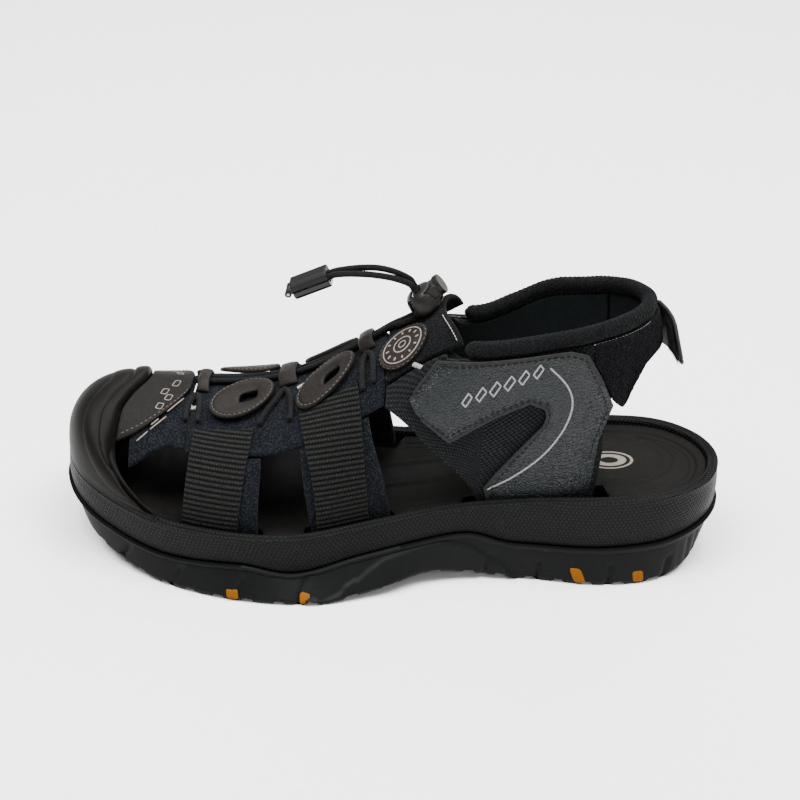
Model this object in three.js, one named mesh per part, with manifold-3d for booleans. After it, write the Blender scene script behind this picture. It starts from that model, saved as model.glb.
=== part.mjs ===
// Strappy sport sandal, left foot. Millimetres, +Z up, toe towards -X, little-toe side towards -Y.
import * as THREE from 'three';
import { mergeVertices } from 'three/addons/utils/BufferGeometryUtils.js';
import Module from 'manifold-3d';

const wasm = await Module();
wasm.setup();

// ---------- driving dimensions ----------
const gap = 0.3;                 // clearance between neighbouring pieces
const rimWidth = 4.5;            // width of the midsole's raised rim
const baseInset = 7.2;           // from the rim's outer edge to the foot form
const strapSlot = 11.6;          // inset of the footbed where a strap passes it
const liningThickness = 2.6;     // padded lining of the straps
const webThickness = 1.7;        // ribbed webbing and synthetic leather
const tuckDepth = 5;             // how far the straps go down beside the footbed
const sockDepth = 9.4;           // from the rim's top down to the insole board's top
const boardThickness = 2;
const laceDiameter = 2.7;
const keeperDiameter = 2.4;
const ringPoints = 60;           // points round each sole outline
const quarterStart = 68;         // where the side walls start to turn round the heel
const heelMiddle = 124.5;        // wall distance to the middle of the heel
const heelEnd = 2 * heelMiddle;  // the wall distance that mirrors distance 0

// ---------- foot form and sole outline ----------
const soleOutline = [
  [139, 0], [133, -19], [116, -31.5], [90, -36], [58, -35.5], [24, -37.5], [-8, -45.5], [-36, -53],
  [-64, -54], [-92, -48], [-116, -35.5], [-134, -19], [-141, 3], [-135, 24], [-116, 40], [-90, 48.5],
  [-60, 49], [-30, 42], [0, 33], [28, 29.5], [58, 31], [90, 34.5], [116, 31], [133, 18],
];
const toeIndex = 12;             // the outline point at the toe tip
const rimHeight = [
  [-141, 36], [-118, 31], [-90, 28], [-45, 27], [0, 31], [40, 36], [75, 39], [110, 41], [139, 42],
];
const treadHeight = [
  [-141, 15], [-128, 8.5], [-108, 3], [-88, 0], [-30, 0], [-5, 3.5], [15, 5.5], [35, 3], [58, 0],
  [108, 0], [124, 2.5], [139, 10],
];
const partingHeight = [
  [-141, 24], [-120, 17], [-90, 13], [-62, 14], [-40, 10], [-14, 15], [10, 19], [32, 22], [52, 17],
  [80, 16], [110, 18], [139, 24],
];
const treadFlare = [
  [-141, -3], [-120, 1], [-90, 3.5], [-60, 6.5], [-30, 9], [-5, 8], [15, 3.5], [45, 1.5], [70, 3], [90, 4],
  [120, 1], [139, -4],
];
const medialFlareShare = 0.6;    // the sole spreads less on the big-toe side
const ridgeHeight = [
  [-141, 40], [-137, 49], [-129, 56], [-115, 61], [-100, 61], [-80, 61.5], [-60, 64.5], [-40, 71],
  [-20, 83], [0, 97], [15, 108], [30, 124], [50, 144], [68, 152],
];
const ridgeLine = [[-142, 8], [-110, 12], [-80, 8], [-40, 3], [0, 0], [68, 0]];
const roundness = [[-142, 2.3], [-60, 2.2], [-20, 2.3], [20, 2.7], [50, 3], [68, 3]];
const heelBack = [[30, 104], [60, 104], [80, 106.5], [92, 108], [105, 106.5], [120, 102.5], [135, 99]];

// Smooth value at x through [x, value] points, never beyond its neighbours.
function curve(points, x) {
  const last = points.length - 1;
  const slopes = points.slice(1).map((p, i) => (p[1] - points[i][1]) / (p[0] - points[i][0]));
  const tangent = (i) => {
    if (i === 0) return slopes[0];
    if (i === last) return slopes[last - 1];
    const [before, after] = [slopes[i - 1], slopes[i]];
    return before * after <= 0 ? 0 : (2 * before * after) / (before + after);
  };
  const at = Math.min(Math.max(x, points[0][0]), points[last][0]);
  let i = 0;
  while (i < last - 1 && at > points[i + 1][0]) i += 1;
  const h = points[i + 1][0] - points[i][0];
  const s = (at - points[i][0]) / h;
  const r = 1 - s;
  return (1 + 2 * s) * r * r * points[i][1] + s * r * r * h * tangent(i)
    + s * s * (3 - 2 * s) * points[i + 1][1] - s * s * r * h * tangent(i + 1);
}

const lerp = (a, b, s) => a + (b - a) * s;

// Point on the closed outline at knot parameter k (Catmull-Rom).
function outlinePoint(k) {
  const n = soleOutline.length;
  const i = Math.floor(k);
  const s = k - i;
  const [p0, p1, p2, p3] = [i - 1, i, i + 1, i + 2].map((j) => soleOutline[(j + n) % n]);
  return [0, 1].map((c) => 0.5 * (2 * p1[c] + (p2[c] - p0[c]) * s
    + (2 * p0[c] - 5 * p1[c] + 4 * p2[c] - p3[c]) * s * s
    + (3 * p1[c] - p0[c] - 3 * p2[c] + p3[c]) * s * s * s));
}

// Outline points evenly spaced along each side, heel middle first, toe tip half way round.
function sampleOutline(count) {
  const n = soleOutline.length;
  const halves = [[0, toeIndex], [toeIndex, n]];
  const ring = [];
  for (const [from, to] of halves) {
    const steps = 400;
    const fine = Array.from({ length: steps + 1 }, (_, i) => outlinePoint(lerp(from, to, i / steps)));
    const run = [0];
    for (let i = 1; i <= steps; i += 1) {
      run.push(run[i - 1] + Math.hypot(fine[i][0] - fine[i - 1][0], fine[i][1] - fine[i - 1][1]));
    }
    for (let k = 0; k < count / 2; k += 1) {
      const target = (run[steps] * k) / (count / 2);
      const j = Math.max(1, run.findIndex((r) => r >= target));
      const s = (target - run[j - 1]) / (run[j] - run[j - 1]);
      ring.push([lerp(fine[j - 1][0], fine[j][0], s), lerp(fine[j - 1][1], fine[j][1], s)]);
    }
  }
  return ring;
}

// Ring of 3D points: the outline moved outwards by grow(x, y), at height(x).
function outlineRing(base, grow, height) {
  const n = base.length;
  return base.map((p, i) => {
    const a = base[(i + n - 1) % n];
    const b = base[(i + 1) % n];
    const length = Math.hypot(b[0] - a[0], b[1] - a[1]);
    const d = grow(p[0], p[1]);
    return [p[0] - ((b[1] - a[1]) / length) * d, p[1] + ((b[0] - a[0]) / length) * d, height(p[0])];
  });
}

const fineOutline = sampleOutline(480);
const footOutline = outlineRing(fineOutline, () => -baseInset, () => 0);

// Half-edges of the foot form in plan: y of the little-toe side or the big-toe side at x.
function sideY(x, medial) {
  const side = footOutline.filter((p) => (medial ? p[1] >= 1 : p[1] < 1)).sort((a, b) => a[0] - b[0]);
  const at = Math.min(Math.max(x, side[0][0]), side[side.length - 1][0]);
  const j = Math.max(1, side.findIndex((p) => p[0] >= at));
  const s = (at - side[j - 1][0]) / (side[j][0] - side[j - 1][0]);
  return lerp(side[j - 1][1], side[j][1], s);
}
const sideCache = new Map();
function cachedSideY(x, medial) {
  const key = `${x.toFixed(3)}${medial}`;
  if (!sideCache.has(key)) sideCache.set(key, sideY(x, medial));
  return sideCache.get(key);
}

const rimTop = (x) => curve(rimHeight, x);
const formBase = (x) => rimTop(x) - 4;

// Point on the foot form. degrees runs over the foot: 0 little-toe base, 90 ridge, 180 big-toe base.
// Beyond 0 or 180 the form goes straight down, one millimetre a degree.
function formPoint(x, degrees) {
  const under = Math.max(0, -degrees, degrees - 180);
  const angle = (Math.min(Math.max(degrees, 0), 180) * Math.PI) / 180;
  const c = Math.cos(angle);
  const s = Math.sin(angle);
  const base = formBase(x);
  const n = curve(roundness, x);
  const middle = curve(ridgeLine, x);
  const width = c > 0 ? middle - cachedSideY(x, false) : cachedSideY(x, true) - middle;
  return [
    x,
    middle - width * Math.sign(c) * Math.abs(c) ** (2 / n),
    base + (curve(ridgeHeight, x) - base) * Math.abs(s) ** (2 / n) - under,
  ];
}

// Degrees over the form at which its little-toe side reaches height z.
function degreesAt(x, z) {
  const base = formBase(x);
  if (z < base) return z - base;
  const part = Math.min((z - base) / (curve(ridgeHeight, x) - base), 1);
  return (Math.asin(part ** (curve(roundness, x) / 2)) * 180) / Math.PI;
}

// Point on the quarter walls. along = x up to quarterStart, then round the heel, then mirrored.
function wallPoint(along, z) {
  const medial = along > heelMiddle;
  const u = medial ? heelEnd - along : along;
  const x = Math.min(u, quarterStart);
  const degrees = degreesAt(x, z);
  const p = formPoint(x, medial ? 180 - degrees : degrees);
  if (u <= quarterStart) return [p[0], p[1], z];
  const turn = ((u - quarterStart) / (heelMiddle - quarterStart)) * (Math.PI / 2);
  return [quarterStart + (curve(heelBack, z) - quarterStart) * Math.sin(turn), p[1] * Math.cos(turn), z];
}

// Point at distance off outside a surface given by two parameters.
function lifted(surface, a, b, off) {
  const e = 0.3;
  const [a0, a1, b0, b1] = [surface(a - e, b), surface(a + e, b), surface(a, b - e), surface(a, b + e)];
  const du = new THREE.Vector3(...a1).sub(new THREE.Vector3(...a0));
  const dv = new THREE.Vector3(...b1).sub(new THREE.Vector3(...b0));
  const normal = du.cross(dv).normalize();
  return new THREE.Vector3(...surface(a, b)).addScaledVector(normal, off);
}
const onForm = (x, degrees, off) => lifted(formPoint, x, degrees, off);
const onWall = (along, z, off) => lifted(wallPoint, along, z, off);

// Mirrors a place on the little-toe side of the form to the big-toe side, leaving the lace channel.
const laceLine = 97;             // degrees over the form where the lace runs
const mirrored = (degrees) => 180 - degrees + 2 * (laceLine - 90) * Math.sin((degrees * Math.PI) / 180) ** 4;

// ---------- solid builders ----------
function closedGeometry(points, triangles) {
  const volume = triangles.reduce((sum, [a, b, c]) => {
    const [p, q, r] = [points[a], points[b], points[c]];
    return sum + p.dot(q.clone().cross(r));
  }, 0);
  const geometry = new THREE.BufferGeometry();
  geometry.setAttribute('position', new THREE.Float32BufferAttribute(points.flatMap((p) => p.toArray()), 3));
  geometry.setIndex(triangles.flatMap(([a, b, c]) => (volume > 0 ? [a, b, c] : [a, c, b])));
  geometry.computeVertexNormals();
  return geometry;
}

// A curved sheet with thickness. place(u, v, layer) gives a Vector3; layer 0 is inside, 1 outside.
function sheet(place, nu, nv) {
  const points = [];
  const triangles = [];
  const at = (layer, i, j) => layer * (nu + 1) * (nv + 1) + i * (nv + 1) + j;
  for (const layer of [0, 1]) {
    for (let i = 0; i <= nu; i += 1) {
      for (let j = 0; j <= nv; j += 1) points.push(place(i / nu, j / nv, layer));
    }
  }
  const quad = (a, b, c, d) => triangles.push([a, b, c], [a, c, d]);
  for (let i = 0; i < nu; i += 1) {
    for (let j = 0; j < nv; j += 1) {
      quad(at(1, i, j), at(1, i + 1, j), at(1, i + 1, j + 1), at(1, i, j + 1));
      quad(at(0, i, j), at(0, i, j + 1), at(0, i + 1, j + 1), at(0, i + 1, j));
    }
    quad(at(0, i, 0), at(0, i + 1, 0), at(1, i + 1, 0), at(1, i, 0));
    quad(at(1, i, nv), at(1, i + 1, nv), at(0, i + 1, nv), at(0, i, nv));
  }
  for (let j = 0; j < nv; j += 1) {
    quad(at(1, 0, j), at(1, 0, j + 1), at(0, 0, j + 1), at(0, 0, j));
    quad(at(0, nu, j), at(0, nu, j + 1), at(1, nu, j + 1), at(1, nu, j));
  }
  return closedGeometry(points, triangles);
}

// A sheet whose u closes on itself, so that it has a hole: v 0 is the hole, 1 the outer edge.
function annularSheet(place, nu, nv) {
  const points = [];
  const triangles = [];
  const at = (layer, i, j) => layer * nu * (nv + 1) + (i % nu) * (nv + 1) + j;
  for (const layer of [0, 1]) {
    for (let i = 0; i < nu; i += 1) {
      for (let j = 0; j <= nv; j += 1) points.push(place(i / nu, j / nv, layer));
    }
  }
  const quad = (a, b, c, d) => triangles.push([a, b, c], [a, c, d]);
  for (let i = 0; i < nu; i += 1) {
    for (let j = 0; j < nv; j += 1) {
      quad(at(1, i, j), at(1, i + 1, j), at(1, i + 1, j + 1), at(1, i, j + 1));
      quad(at(0, i, j), at(0, i, j + 1), at(0, i + 1, j + 1), at(0, i + 1, j));
    }
    quad(at(0, i, 0), at(0, i + 1, 0), at(1, i + 1, 0), at(1, i, 0));
    quad(at(1, i, nv), at(1, i + 1, nv), at(0, i + 1, nv), at(0, i, nv));
  }
  return closedGeometry(points, triangles);
}

// A solid skinned over rings of equal length. The first and last rings are filled rung by rung.
function loft(rings) {
  const n = rings[0].length;
  const points = rings.flat().map((p) => (p.isVector3 ? p : new THREE.Vector3(...p)));
  const triangles = [];
  for (let r = 0; r < rings.length - 1; r += 1) {
    for (let i = 0; i < n; i += 1) {
      const [a, b] = [r * n + i, r * n + ((i + 1) % n)];
      triangles.push([a, b, b + n], [a, b + n, a + n]);
    }
  }
  const ladder = (start, turned) => {
    const add = (a, b, c) => {
      const order = turned ? [a, c, b] : [a, b, c];
      triangles.push(order.map((k) => start + k));
    };
    add(0, n - 1, 1);
    for (let i = 1; i < n / 2 - 1; i += 1) {
      add(i, n - i, n - i - 1);
      add(i, n - i - 1, i + 1);
    }
    add(n / 2 - 1, n / 2 + 1, n / 2);
  };
  ladder(0, false);
  ladder((rings.length - 1) * n, true);
  return closedGeometry(points, triangles);
}

// A round cord along the given points.
function cord(route, diameter, steps) {
  const path = new THREE.CatmullRomCurve3(route.map((p) => new THREE.Vector3(...p)));
  const sides = 8;
  const section = new THREE.Shape();
  for (let i = 0; i < sides; i += 1) {
    const angle = (i / sides) * 2 * Math.PI;
    const [x, y] = [Math.cos(angle) * (diameter / 2), Math.sin(angle) * (diameter / 2)];
    if (i === 0) section.moveTo(x, y);
    else section.lineTo(x, y);
  }
  return new THREE.ExtrudeGeometry(section, { steps, extrudePath: path, bevelEnabled: false });
}

function toSolid(geometry) {
  const bare = geometry.index ? geometry.toNonIndexed() : geometry.clone();
  for (const name of Object.keys(bare.attributes)) {
    if (name !== 'position') bare.deleteAttribute(name);
  }
  const merged = mergeVertices(bare, 1e-4);
  return new wasm.Manifold(new wasm.Mesh({
    numProp: 3,
    vertProperties: new Float32Array(merged.attributes.position.array),
    triVerts: new Uint32Array(merged.index.array),
  }));
}

function fromSolid(solid) {
  const mesh = solid.getMesh();
  const geometry = new THREE.BufferGeometry();
  geometry.setAttribute('position', new THREE.Float32BufferAttribute(mesh.vertProperties, 3));
  geometry.setIndex(Array.from(mesh.triVerts));
  geometry.computeVertexNormals();
  return geometry;
}

// ---------- assembly ----------
const sandal = new THREE.Group();
const finishes = {
  rubber: { color: 0x17181a, roughness: 0.8 },
  foam: { color: 0x1b1c1e, roughness: 0.75 },
  insert: { color: 0xc98a12, roughness: 0.7 },
  board: { color: 0x4b4038, roughness: 0.9 },
  fleece: { color: 0x141519, roughness: 1 },
  webbing: { color: 0x101114, roughness: 0.85 },
  leather: { color: 0x1c2126, roughness: 0.45 },
  suede: { color: 0x2c2623, roughness: 0.7 },
  lining: { color: 0x23282a, roughness: 0.8 },
  cord: { color: 0x0d0d0f, roughness: 0.8 },
  plastic: { color: 0x16130f, roughness: 0.45 },
  gloss: { color: 0x0b0b0c, roughness: 0.2 },
  steel: { color: 0x8a8c90, roughness: 0.35, metalness: 0.9 },
  tape: { color: 0x3a3a3a, roughness: 0.9 },
};

function add(name, geometry, finish, parent = sandal) {
  const mesh = new THREE.Mesh(geometry, new THREE.MeshStandardMaterial(finishes[finish]));
  mesh.name = name;
  parent.add(mesh);
  return mesh;
}

// ---------- sole ----------
const outline = sampleOutline(ringPoints);
const strapZone = [-97, 98];     // where straps and quarters pass the footbed's edge
function footbedInset(x) {
  const heelward = 5 * Math.min(Math.max((x - 50) / 25, 0), 1);   // the quarters lean in there
  return x > strapZone[0] && x < strapZone[1] ? -strapSlot - heelward : -(rimWidth + gap);
}
const flare = (x, y) => curve(treadFlare, x) * (y > 0 ? medialFlareShare : 1);
const trayFloor = (x) => curve(treadHeight, x) + 5;
const boardTop = (x) => rimTop(x) - sockDepth;

function addOutsole() {
  const wall = 4;
  const bevel = 0.8;
  add('outsole', loft([
    outlineRing(outline, (x, y) => flare(x, y) - bevel, (x) => curve(treadHeight, x)),
    outlineRing(outline, flare, (x) => curve(treadHeight, x) + 2),
    outlineRing(outline, () => 0.6, (x) => curve(partingHeight, x)),
    outlineRing(outline, () => -wall, (x) => curve(partingHeight, x)),
    outlineRing(outline, () => -wall - 1, trayFloor),
  ]), 'rubber');
}

function addMidsole() {
  const ledge = -4 - gap;
  add('midsole', loft([
    outlineRing(outline, () => ledge - 1, (x) => trayFloor(x) + gap),
    outlineRing(outline, () => ledge, (x) => curve(partingHeight, x) + gap),
    outlineRing(outline, () => 0, (x) => curve(partingHeight, x) + gap),
    outlineRing(outline, () => 0.5, (x) => lerp(curve(partingHeight, x), rimTop(x), 0.5)),
    outlineRing(outline, () => 0, rimTop),
    outlineRing(outline, () => -rimWidth, rimTop),
    outlineRing(outline, () => -rimWidth, (x) => boardTop(x) - boardThickness - gap),
  ]), 'foam');
}

function addInsole() {
  const boardInset = -(rimWidth + gap);
  add('insole_board', loft([
    outlineRing(outline, () => boardInset, (x) => boardTop(x) - boardThickness),
    outlineRing(outline, () => boardInset, boardTop),
  ]), 'board');
  const cup = 2.2;
  add('footbed', loft([
    outlineRing(outline, footbedInset, (x) => boardTop(x) + gap),
    outlineRing(outline, footbedInset, (x) => rimTop(x) - 2),
    outlineRing(outline, (x) => footbedInset(x) - 6, (x) => rimTop(x) - 2 - cup),
    outlineRing(outline, (x) => footbedInset(x) - 14, (x) => rimTop(x) - 2.6 - cup),
  ]), 'foam');
}

// Coloured wear plugs at the sole's edge, let into notches of the outsole.
const insertPlaces = [-64, -33.5, 79.5, 105];
function insertSolid(x, medial, grow) {
  const side = medial ? 1 : -1;
  const y = sideY(x, medial) + side * (baseInset + flare(x, side) - 3);
  const block = new THREE.BoxGeometry(5 + 2 * grow, 7 + 2 * grow, 4 + 2 * grow);
  block.rotateZ(side * 0.18);
  block.translate(x, y + side * grow, 3.2);
  return block;
}

function addInserts() {
  const outsole = sandal.getObjectByName('outsole');
  let rubber = toSolid(outsole.geometry);
  for (const medial of [false, true]) {
    insertPlaces.forEach((x, i) => {
      rubber = rubber.subtract(toSolid(insertSolid(x, medial, gap)));
      add(`tread_insert_${medial ? 'medial' : 'lateral'}_${i + 1}`, insertSolid(x, medial, 0), 'insert');
    });
  }
  outsole.geometry = fromSolid(rubber);
}

// ---------- toe ----------
const bumperEdge = [[0, -116], [15, -116], [39, -116.5], [60, -116], [75, -113], [95, -107], [125, -108],
  [150, -114], [180, -116]];     // degrees over the form, x of the bumper's rear edge
const bumperEnd = 0.235;         // share of the outline, each way from the toe tip, that it wraps

function addToeBumper() {
  const skin = 3;
  const place = (u, v, layer) => {
    const k = toeIndex + (u - 0.5) * 2 * 12 * bumperEnd;
    const here = outlinePoint(k);
    const ahead = outlinePoint(k + 0.02);
    const behind = outlinePoint(k - 0.02);
    const length = Math.hypot(ahead[0] - behind[0], ahead[1] - behind[1]);
    const inset = layer === 1 ? 0 : skin;
    const foot = new THREE.Vector3(
      here[0] + ((ahead[1] - behind[1]) / length) * inset,
      here[1] - ((ahead[0] - behind[0]) / length) * inset,
      rimTop(here[0]) + gap,
    );
    const degrees = lerp(3, 177, u);
    const top = onForm(curve(bumperEdge, degrees), degrees, 0.4 + layer * skin);
    const swing = (v * Math.PI) / 2;
    const fullness = 2 / 3;
    const out = 1 - Math.cos(swing) ** fullness;
    const up = Math.sin(swing) ** fullness;
    return new THREE.Vector3(lerp(foot.x, top.x, out), lerp(foot.y, top.y, out), lerp(foot.z, top.z, up));
  };
  add('toe_bumper', sheet(place, 20, 7), 'rubber');
}

const vampLower = [[-115.5, 16], [-105.5, 32.5], [-99.5, 42], [-92, 48], [-87, 47]];
function addVamp() {
  const front = -111;
  const rear = -87;
  add('vamp_lining', sheet((u, v, layer) => {
    const x = lerp(front, rear, u);
    const low = curve(vampLower, x);
    return onForm(x, lerp(low, 180 - low, v), -liningThickness * (1 - layer));
  }, 7, 10), 'fleece');
  const halfSpan = [[0, 56], [0.35, 43], [0.68, 28], [0.92, 15], [1, 8]];
  add('vamp_overlay', sheet((u, v, layer) => {
    const edge = curve(bumperEdge, lerp(39, 151, v)) + 0.8;
    const degrees = 95 + (v - 0.5) * 2 * curve(halfSpan, u);
    return onForm(lerp(edge, rear - 0.8, u), degrees, gap + 0.15 + webThickness * layer);
  }, 6, 10), 'suede');
}

// ---------- straps ----------
// left and right edges as [degrees, x] points, from the sole up to the top end
const straps = {
  front: {
    top: 44,
    webTop: 60,
    lining: { left: [[-5, -86.5], [60, -84]], right: [[-5, -54.5], [7, -54.5], [37, -54], [60, -57]] },
    web: { left: [[-5, -86], [60, -83]], right: [[-5, -63], [6, -62.5], [60, -57.5]] },
  },
  rear: {
    top: 44,
    webTop: 65,
    lining: {
      left: [[-5, -31], [29, -36.5], [60, -39.5]],
      right: [[-5, 1.5], [14, -3.5], [33, -8.5], [60, -13]],
    },
    web: { left: [[-5, -30], [8, -30.5], [65, -39]], right: [[-5, -8.5], [4, -9.5], [65, -14.5]] },
  },
};

function strapSheet(edges, top, medial, low, high) {
  return sheet((u, v, layer) => {
    const degrees = lerp(-tuckDepth, top, v);
    const x = lerp(curve(edges.left, degrees), curve(edges.right, degrees), u);
    return onForm(x, medial ? mirrored(degrees) : degrees, lerp(low, high, layer));
  }, 4, 12);
}

function addStraps() {
  for (const [name, strap] of Object.entries(straps)) {
    for (const medial of [false, true]) {
      const side = medial ? 'medial' : 'lateral';
      const lining = strapSheet(strap.lining, strap.top, medial, -liningThickness, 0);
      const web = strapSheet(strap.web, strap.webTop, medial, gap, gap + webThickness);
      add(`strap_lining_${side}_${name}`, lining, 'fleece');
      add(`strap_web_${side}_${name}`, web, 'webbing');
    }
  }
}

// ---------- instep ----------
const tongueEdge = [[-4, 84], [6, 91], [17, 98], [26, 102.5]];   // x, z of the tongue's lower edge
function addInstep() {
  add('instep_lining', sheet((u, v, layer) => {
    const x = lerp(-86.4, -4.4, u);
    const low = 45.2;
    return onForm(x, lerp(low, mirrored(low), v), -liningThickness * (1 - layer));
  }, 12, 10), 'fleece');
  add('tongue', sheet((u, v, layer) => {
    const rear = 27 - 8.5 * Math.sin(Math.PI * v);
    const x = lerp(-4, rear, u);
    const low = degreesAt(x, curve(tongueEdge, x)) + 0.6;
    return onForm(x, lerp(low, 180 - low, v), -liningThickness * (1 - layer));
  }, 6, 10), 'fleece');
}

// Ovals: centre [x, degrees], half sizes, tilt of the long axis (millimetres a degree is about 0.7).
const eyelets = {
  front: { x: -64, degrees: 78.5, long: 14, short: 12, lean: 0.35 },
  rear: { x: -27.6, degrees: 76.5, long: 12.2, short: 12, lean: 0.5 },
};
const eyeletOff = gap * 2 + webThickness;
const eyeletThickness = 1.5;
function addEyelets() {
  for (const [name, oval] of Object.entries(eyelets)) {
    for (const medial of [false, true]) {
      const hole = 0.27;
      const holeShift = 3;
      const place = (u, v, layer) => {
        const angle = u * 2 * Math.PI;
        const reach = lerp(hole, 1, v);
        const x = oval.x + holeShift * (1 - v) + Math.cos(angle) * oval.long * reach;
        const rise = Math.sin(angle) + Math.cos(angle) * oval.lean;
        const degrees = oval.degrees + rise * oval.short * reach;
        const turned = medial ? mirrored(degrees) : degrees;
        return onForm(x, turned, eyeletOff + eyeletThickness * layer);
      };
      add(`eyelet_patch_${medial ? 'medial' : 'lateral'}_${name}`, annularSheet(place, 22, 2), 'suede');
    }
  }
}

// Leather loops that hold the lace down on the ridge: [x, width]
const laceLoops = { front: [-82.6, 5.5], middle: [-45, 8], rear: [-11.2, 6] };
const loopOff = gap + laceDiameter + gap;
function addLaceLoops() {
  for (const [name, [x, width]] of Object.entries(laceLoops)) {
    const place = (u, v, layer) => {
      const rise = Math.min(1, Math.min(v, 1 - v) * 4.2);
      const off = lerp(gap, loopOff, Math.sin((rise * Math.PI) / 2)) + eyeletThickness * layer;
      return onForm(x + (u - 0.5) * width, lerp(86, 108.5, v), off);
    };
    add(`lace_loop_${name}`, sheet(place, 1, 12), 'suede');
  }
}

// Elastic keepers: an upside-down V on each side of the ridge, as [x, degrees] points.
const keeperOff = gap + keeperDiameter / 2;
const keepers = {
  front: [[-87.6, 64], [-87, 75], [-84.9, 82.6], [-82.6, 75], [-82.2, 64]],
  middle: [[-55.6, 62], [-52.6, 70], [-49.2, 76.5], [-46.2, 82.6], [-43.6, 77], [-42.4, 69], [-42.4, 61]],
  rear: [[-12.5, 59], [-12.9, 70], [-12.7, 78], [-10.9, 82.6], [-9.1, 78], [-8.4, 70], [-8.2, 60]],
};

function addKeepers() {
  for (const [name, route] of Object.entries(keepers)) {
    for (const medial of [false, true]) {
      const side = medial ? 'medial' : 'lateral';
      const turned = (degrees) => (medial ? mirrored(degrees) : degrees);
      const points = route.map(([x, degrees]) => onForm(x, turned(degrees), keeperOff).toArray());
      add(`keeper_cord_${side}_${name}`, cord(points, keeperDiameter, 2 * route.length), 'cord');
    }
  }
}

function addBadge() {
  const radius = 9.6;
  const place = (u, v, layer) => {
    const [a, b] = [u * 2 - 1, v * 2 - 1];
    const x = 3.6 + radius * a * Math.sqrt(1 - (b * b) / 2);
    const degrees = 72.5 + 13 * b * Math.sqrt(1 - (a * a) / 2);
    return onForm(x, degrees, gap + webThickness * layer);
  };
  add('tongue_badge', sheet(place, 6, 6), 'suede');
}

// ---------- quarters, collar and heel ----------
const quarterFront = -3.6;
// [distance along the wall, z] of the quarter's lower edge and of the leather's top edge
const quarterLower = [
  [-6.5, 78], [0.5, 74], [7.5, 68], [15, 59], [25, 49], [33, 39], [37, 31], [46, 31], [84, 33], [88, 60],
];
const leatherTop = [
  [17, 97], [34.5, 98.5], [53.5, 102], [70.5, 106], [88.5, 109.5], [103, 111], [124.5, 112],
];
const medialDrop = [[17, 1], [34.5, 4.5], [48, 1.5], [62, -1.8], [80, -0.2], [100, -0.5], [124.5, 0]];
const bandLower = [
  [79, 99], [82.5, 92.5], [89.5, 80], [93, 77.5], [97.5, 88], [103, 95], [112, 97], [124.5, 97],
];
const collarHeight = 7;

const wallDistance = (along) => (along > heelMiddle ? heelEnd - along : along);
function wallTop(along) {
  const u = wallDistance(along);
  const tongue = curve(tongueEdge, u);
  const top = u < 20 ? Math.min(tongue - 0.6, curve(leatherTop, 17) + 3) : curve(leatherTop, u);
  return along > heelMiddle ? top - curve(medialDrop, u) : top;
}

// Hook-shaped leather: from its front tip back along the collar and down to the sole.
// Each row: inner edge distance, inner z, outer edge distance, outer z.
const leatherEdges = [
  [8.5, 75.5, 6, 80.5], [23, 63, 17.5, 96], [43, 76, 34.5, 98], [55, 82, 53.5, 101.5], [61.5, 79.5, 70, 105],
  [62.5, 75.5, 76, 103.5], [61, 71, 81.5, 92.5], [56, 65, 88, 80], [50, 57.5, 84, 64.5], [43, 48.5, 83, 52],
  [38, 41, 82.5, 41], [40, 34, 82, 34],
];

function addQuarters() {
  const rear = 88;
  const [dropStart, dropSpan] = [60, 45];   // heights over which the big-toe side's leather is lowered
  for (const medial of [false, true]) {
    const side = medial ? 'medial' : 'lateral';
    const along = (u) => (medial ? heelEnd - u : u);
    const layerSheet = (low, high) => sheet((u, v, layer) => {
      const s = lerp(quarterFront, rear, u);
      const a = along(s);
      return onWall(a, lerp(curve(quarterLower, s), wallTop(a), v), lerp(low, high, layer));
    }, 16, 6);
    add(`quarter_lining_${side}`, layerSheet(-liningThickness - gap - 0.9, -liningThickness - gap), 'lining');
    add(`quarter_mesh_${side}`, layerSheet(-liningThickness, 0), 'fleece');
    add(`quarter_leather_${side}`, sheet((u, v, layer) => {
      const k = u * (leatherEdges.length - 1);
      const i = Math.min(Math.floor(k), leatherEdges.length - 2);
      const edge = [0, 1, 2, 3].map((c) => lerp(leatherEdges[i][c], leatherEdges[i + 1][c], k - i));
      const a = along(lerp(edge[0], edge[2], v));
      const z = lerp(edge[1], edge[3], v);
      const share = Math.max(0, (z - dropStart) / dropSpan);
      const drop = medial ? curve(medialDrop, wallDistance(a)) * share : 0;
      return onWall(a, z - drop, 2 * gap + webThickness * layer);
    }, 22, 3), 'leather');
  }
}

function addCollar() {
  const front = 27.5;
  const stations = 30;
  const sides = 8;
  const rings = Array.from({ length: stations + 1 }, (_, i) => {
    const along = lerp(front, heelEnd - front, i / stations);
    const low = wallTop(along) + 0.5;
    return Array.from({ length: sides }, (__, k) => {
      const angle = (k / sides) * 2 * Math.PI;
      return onWall(along, low + collarHeight * (0.5 - 0.5 * Math.cos(angle)), -1.2 + 3 * Math.sin(angle));
    });
  });
  add('collar_pad', loft(rings), 'fleece');
}

function addHeelBand() {
  const start = 88.6;
  add('heel_lining', sheet((u, v, layer) => {
    const along = lerp(start, heelEnd - start, u);
    const low = curve(bandLower, wallDistance(along));
    return onWall(along, lerp(low + 0.2, wallTop(along), v), -liningThickness * (1 - layer));
  }, 18, 4), 'fleece');
  const loopStart = 79;
  add('heel_loop_band', sheet((u, v, layer) => {
    const along = lerp(loopStart, heelEnd - loopStart, u);
    const low = curve(bandLower, wallDistance(along));
    return onWall(along, lerp(low + 0.4, wallTop(along) - 0.2, v), gap + webThickness * layer);
  }, 26, 4), 'fleece');
}

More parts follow.
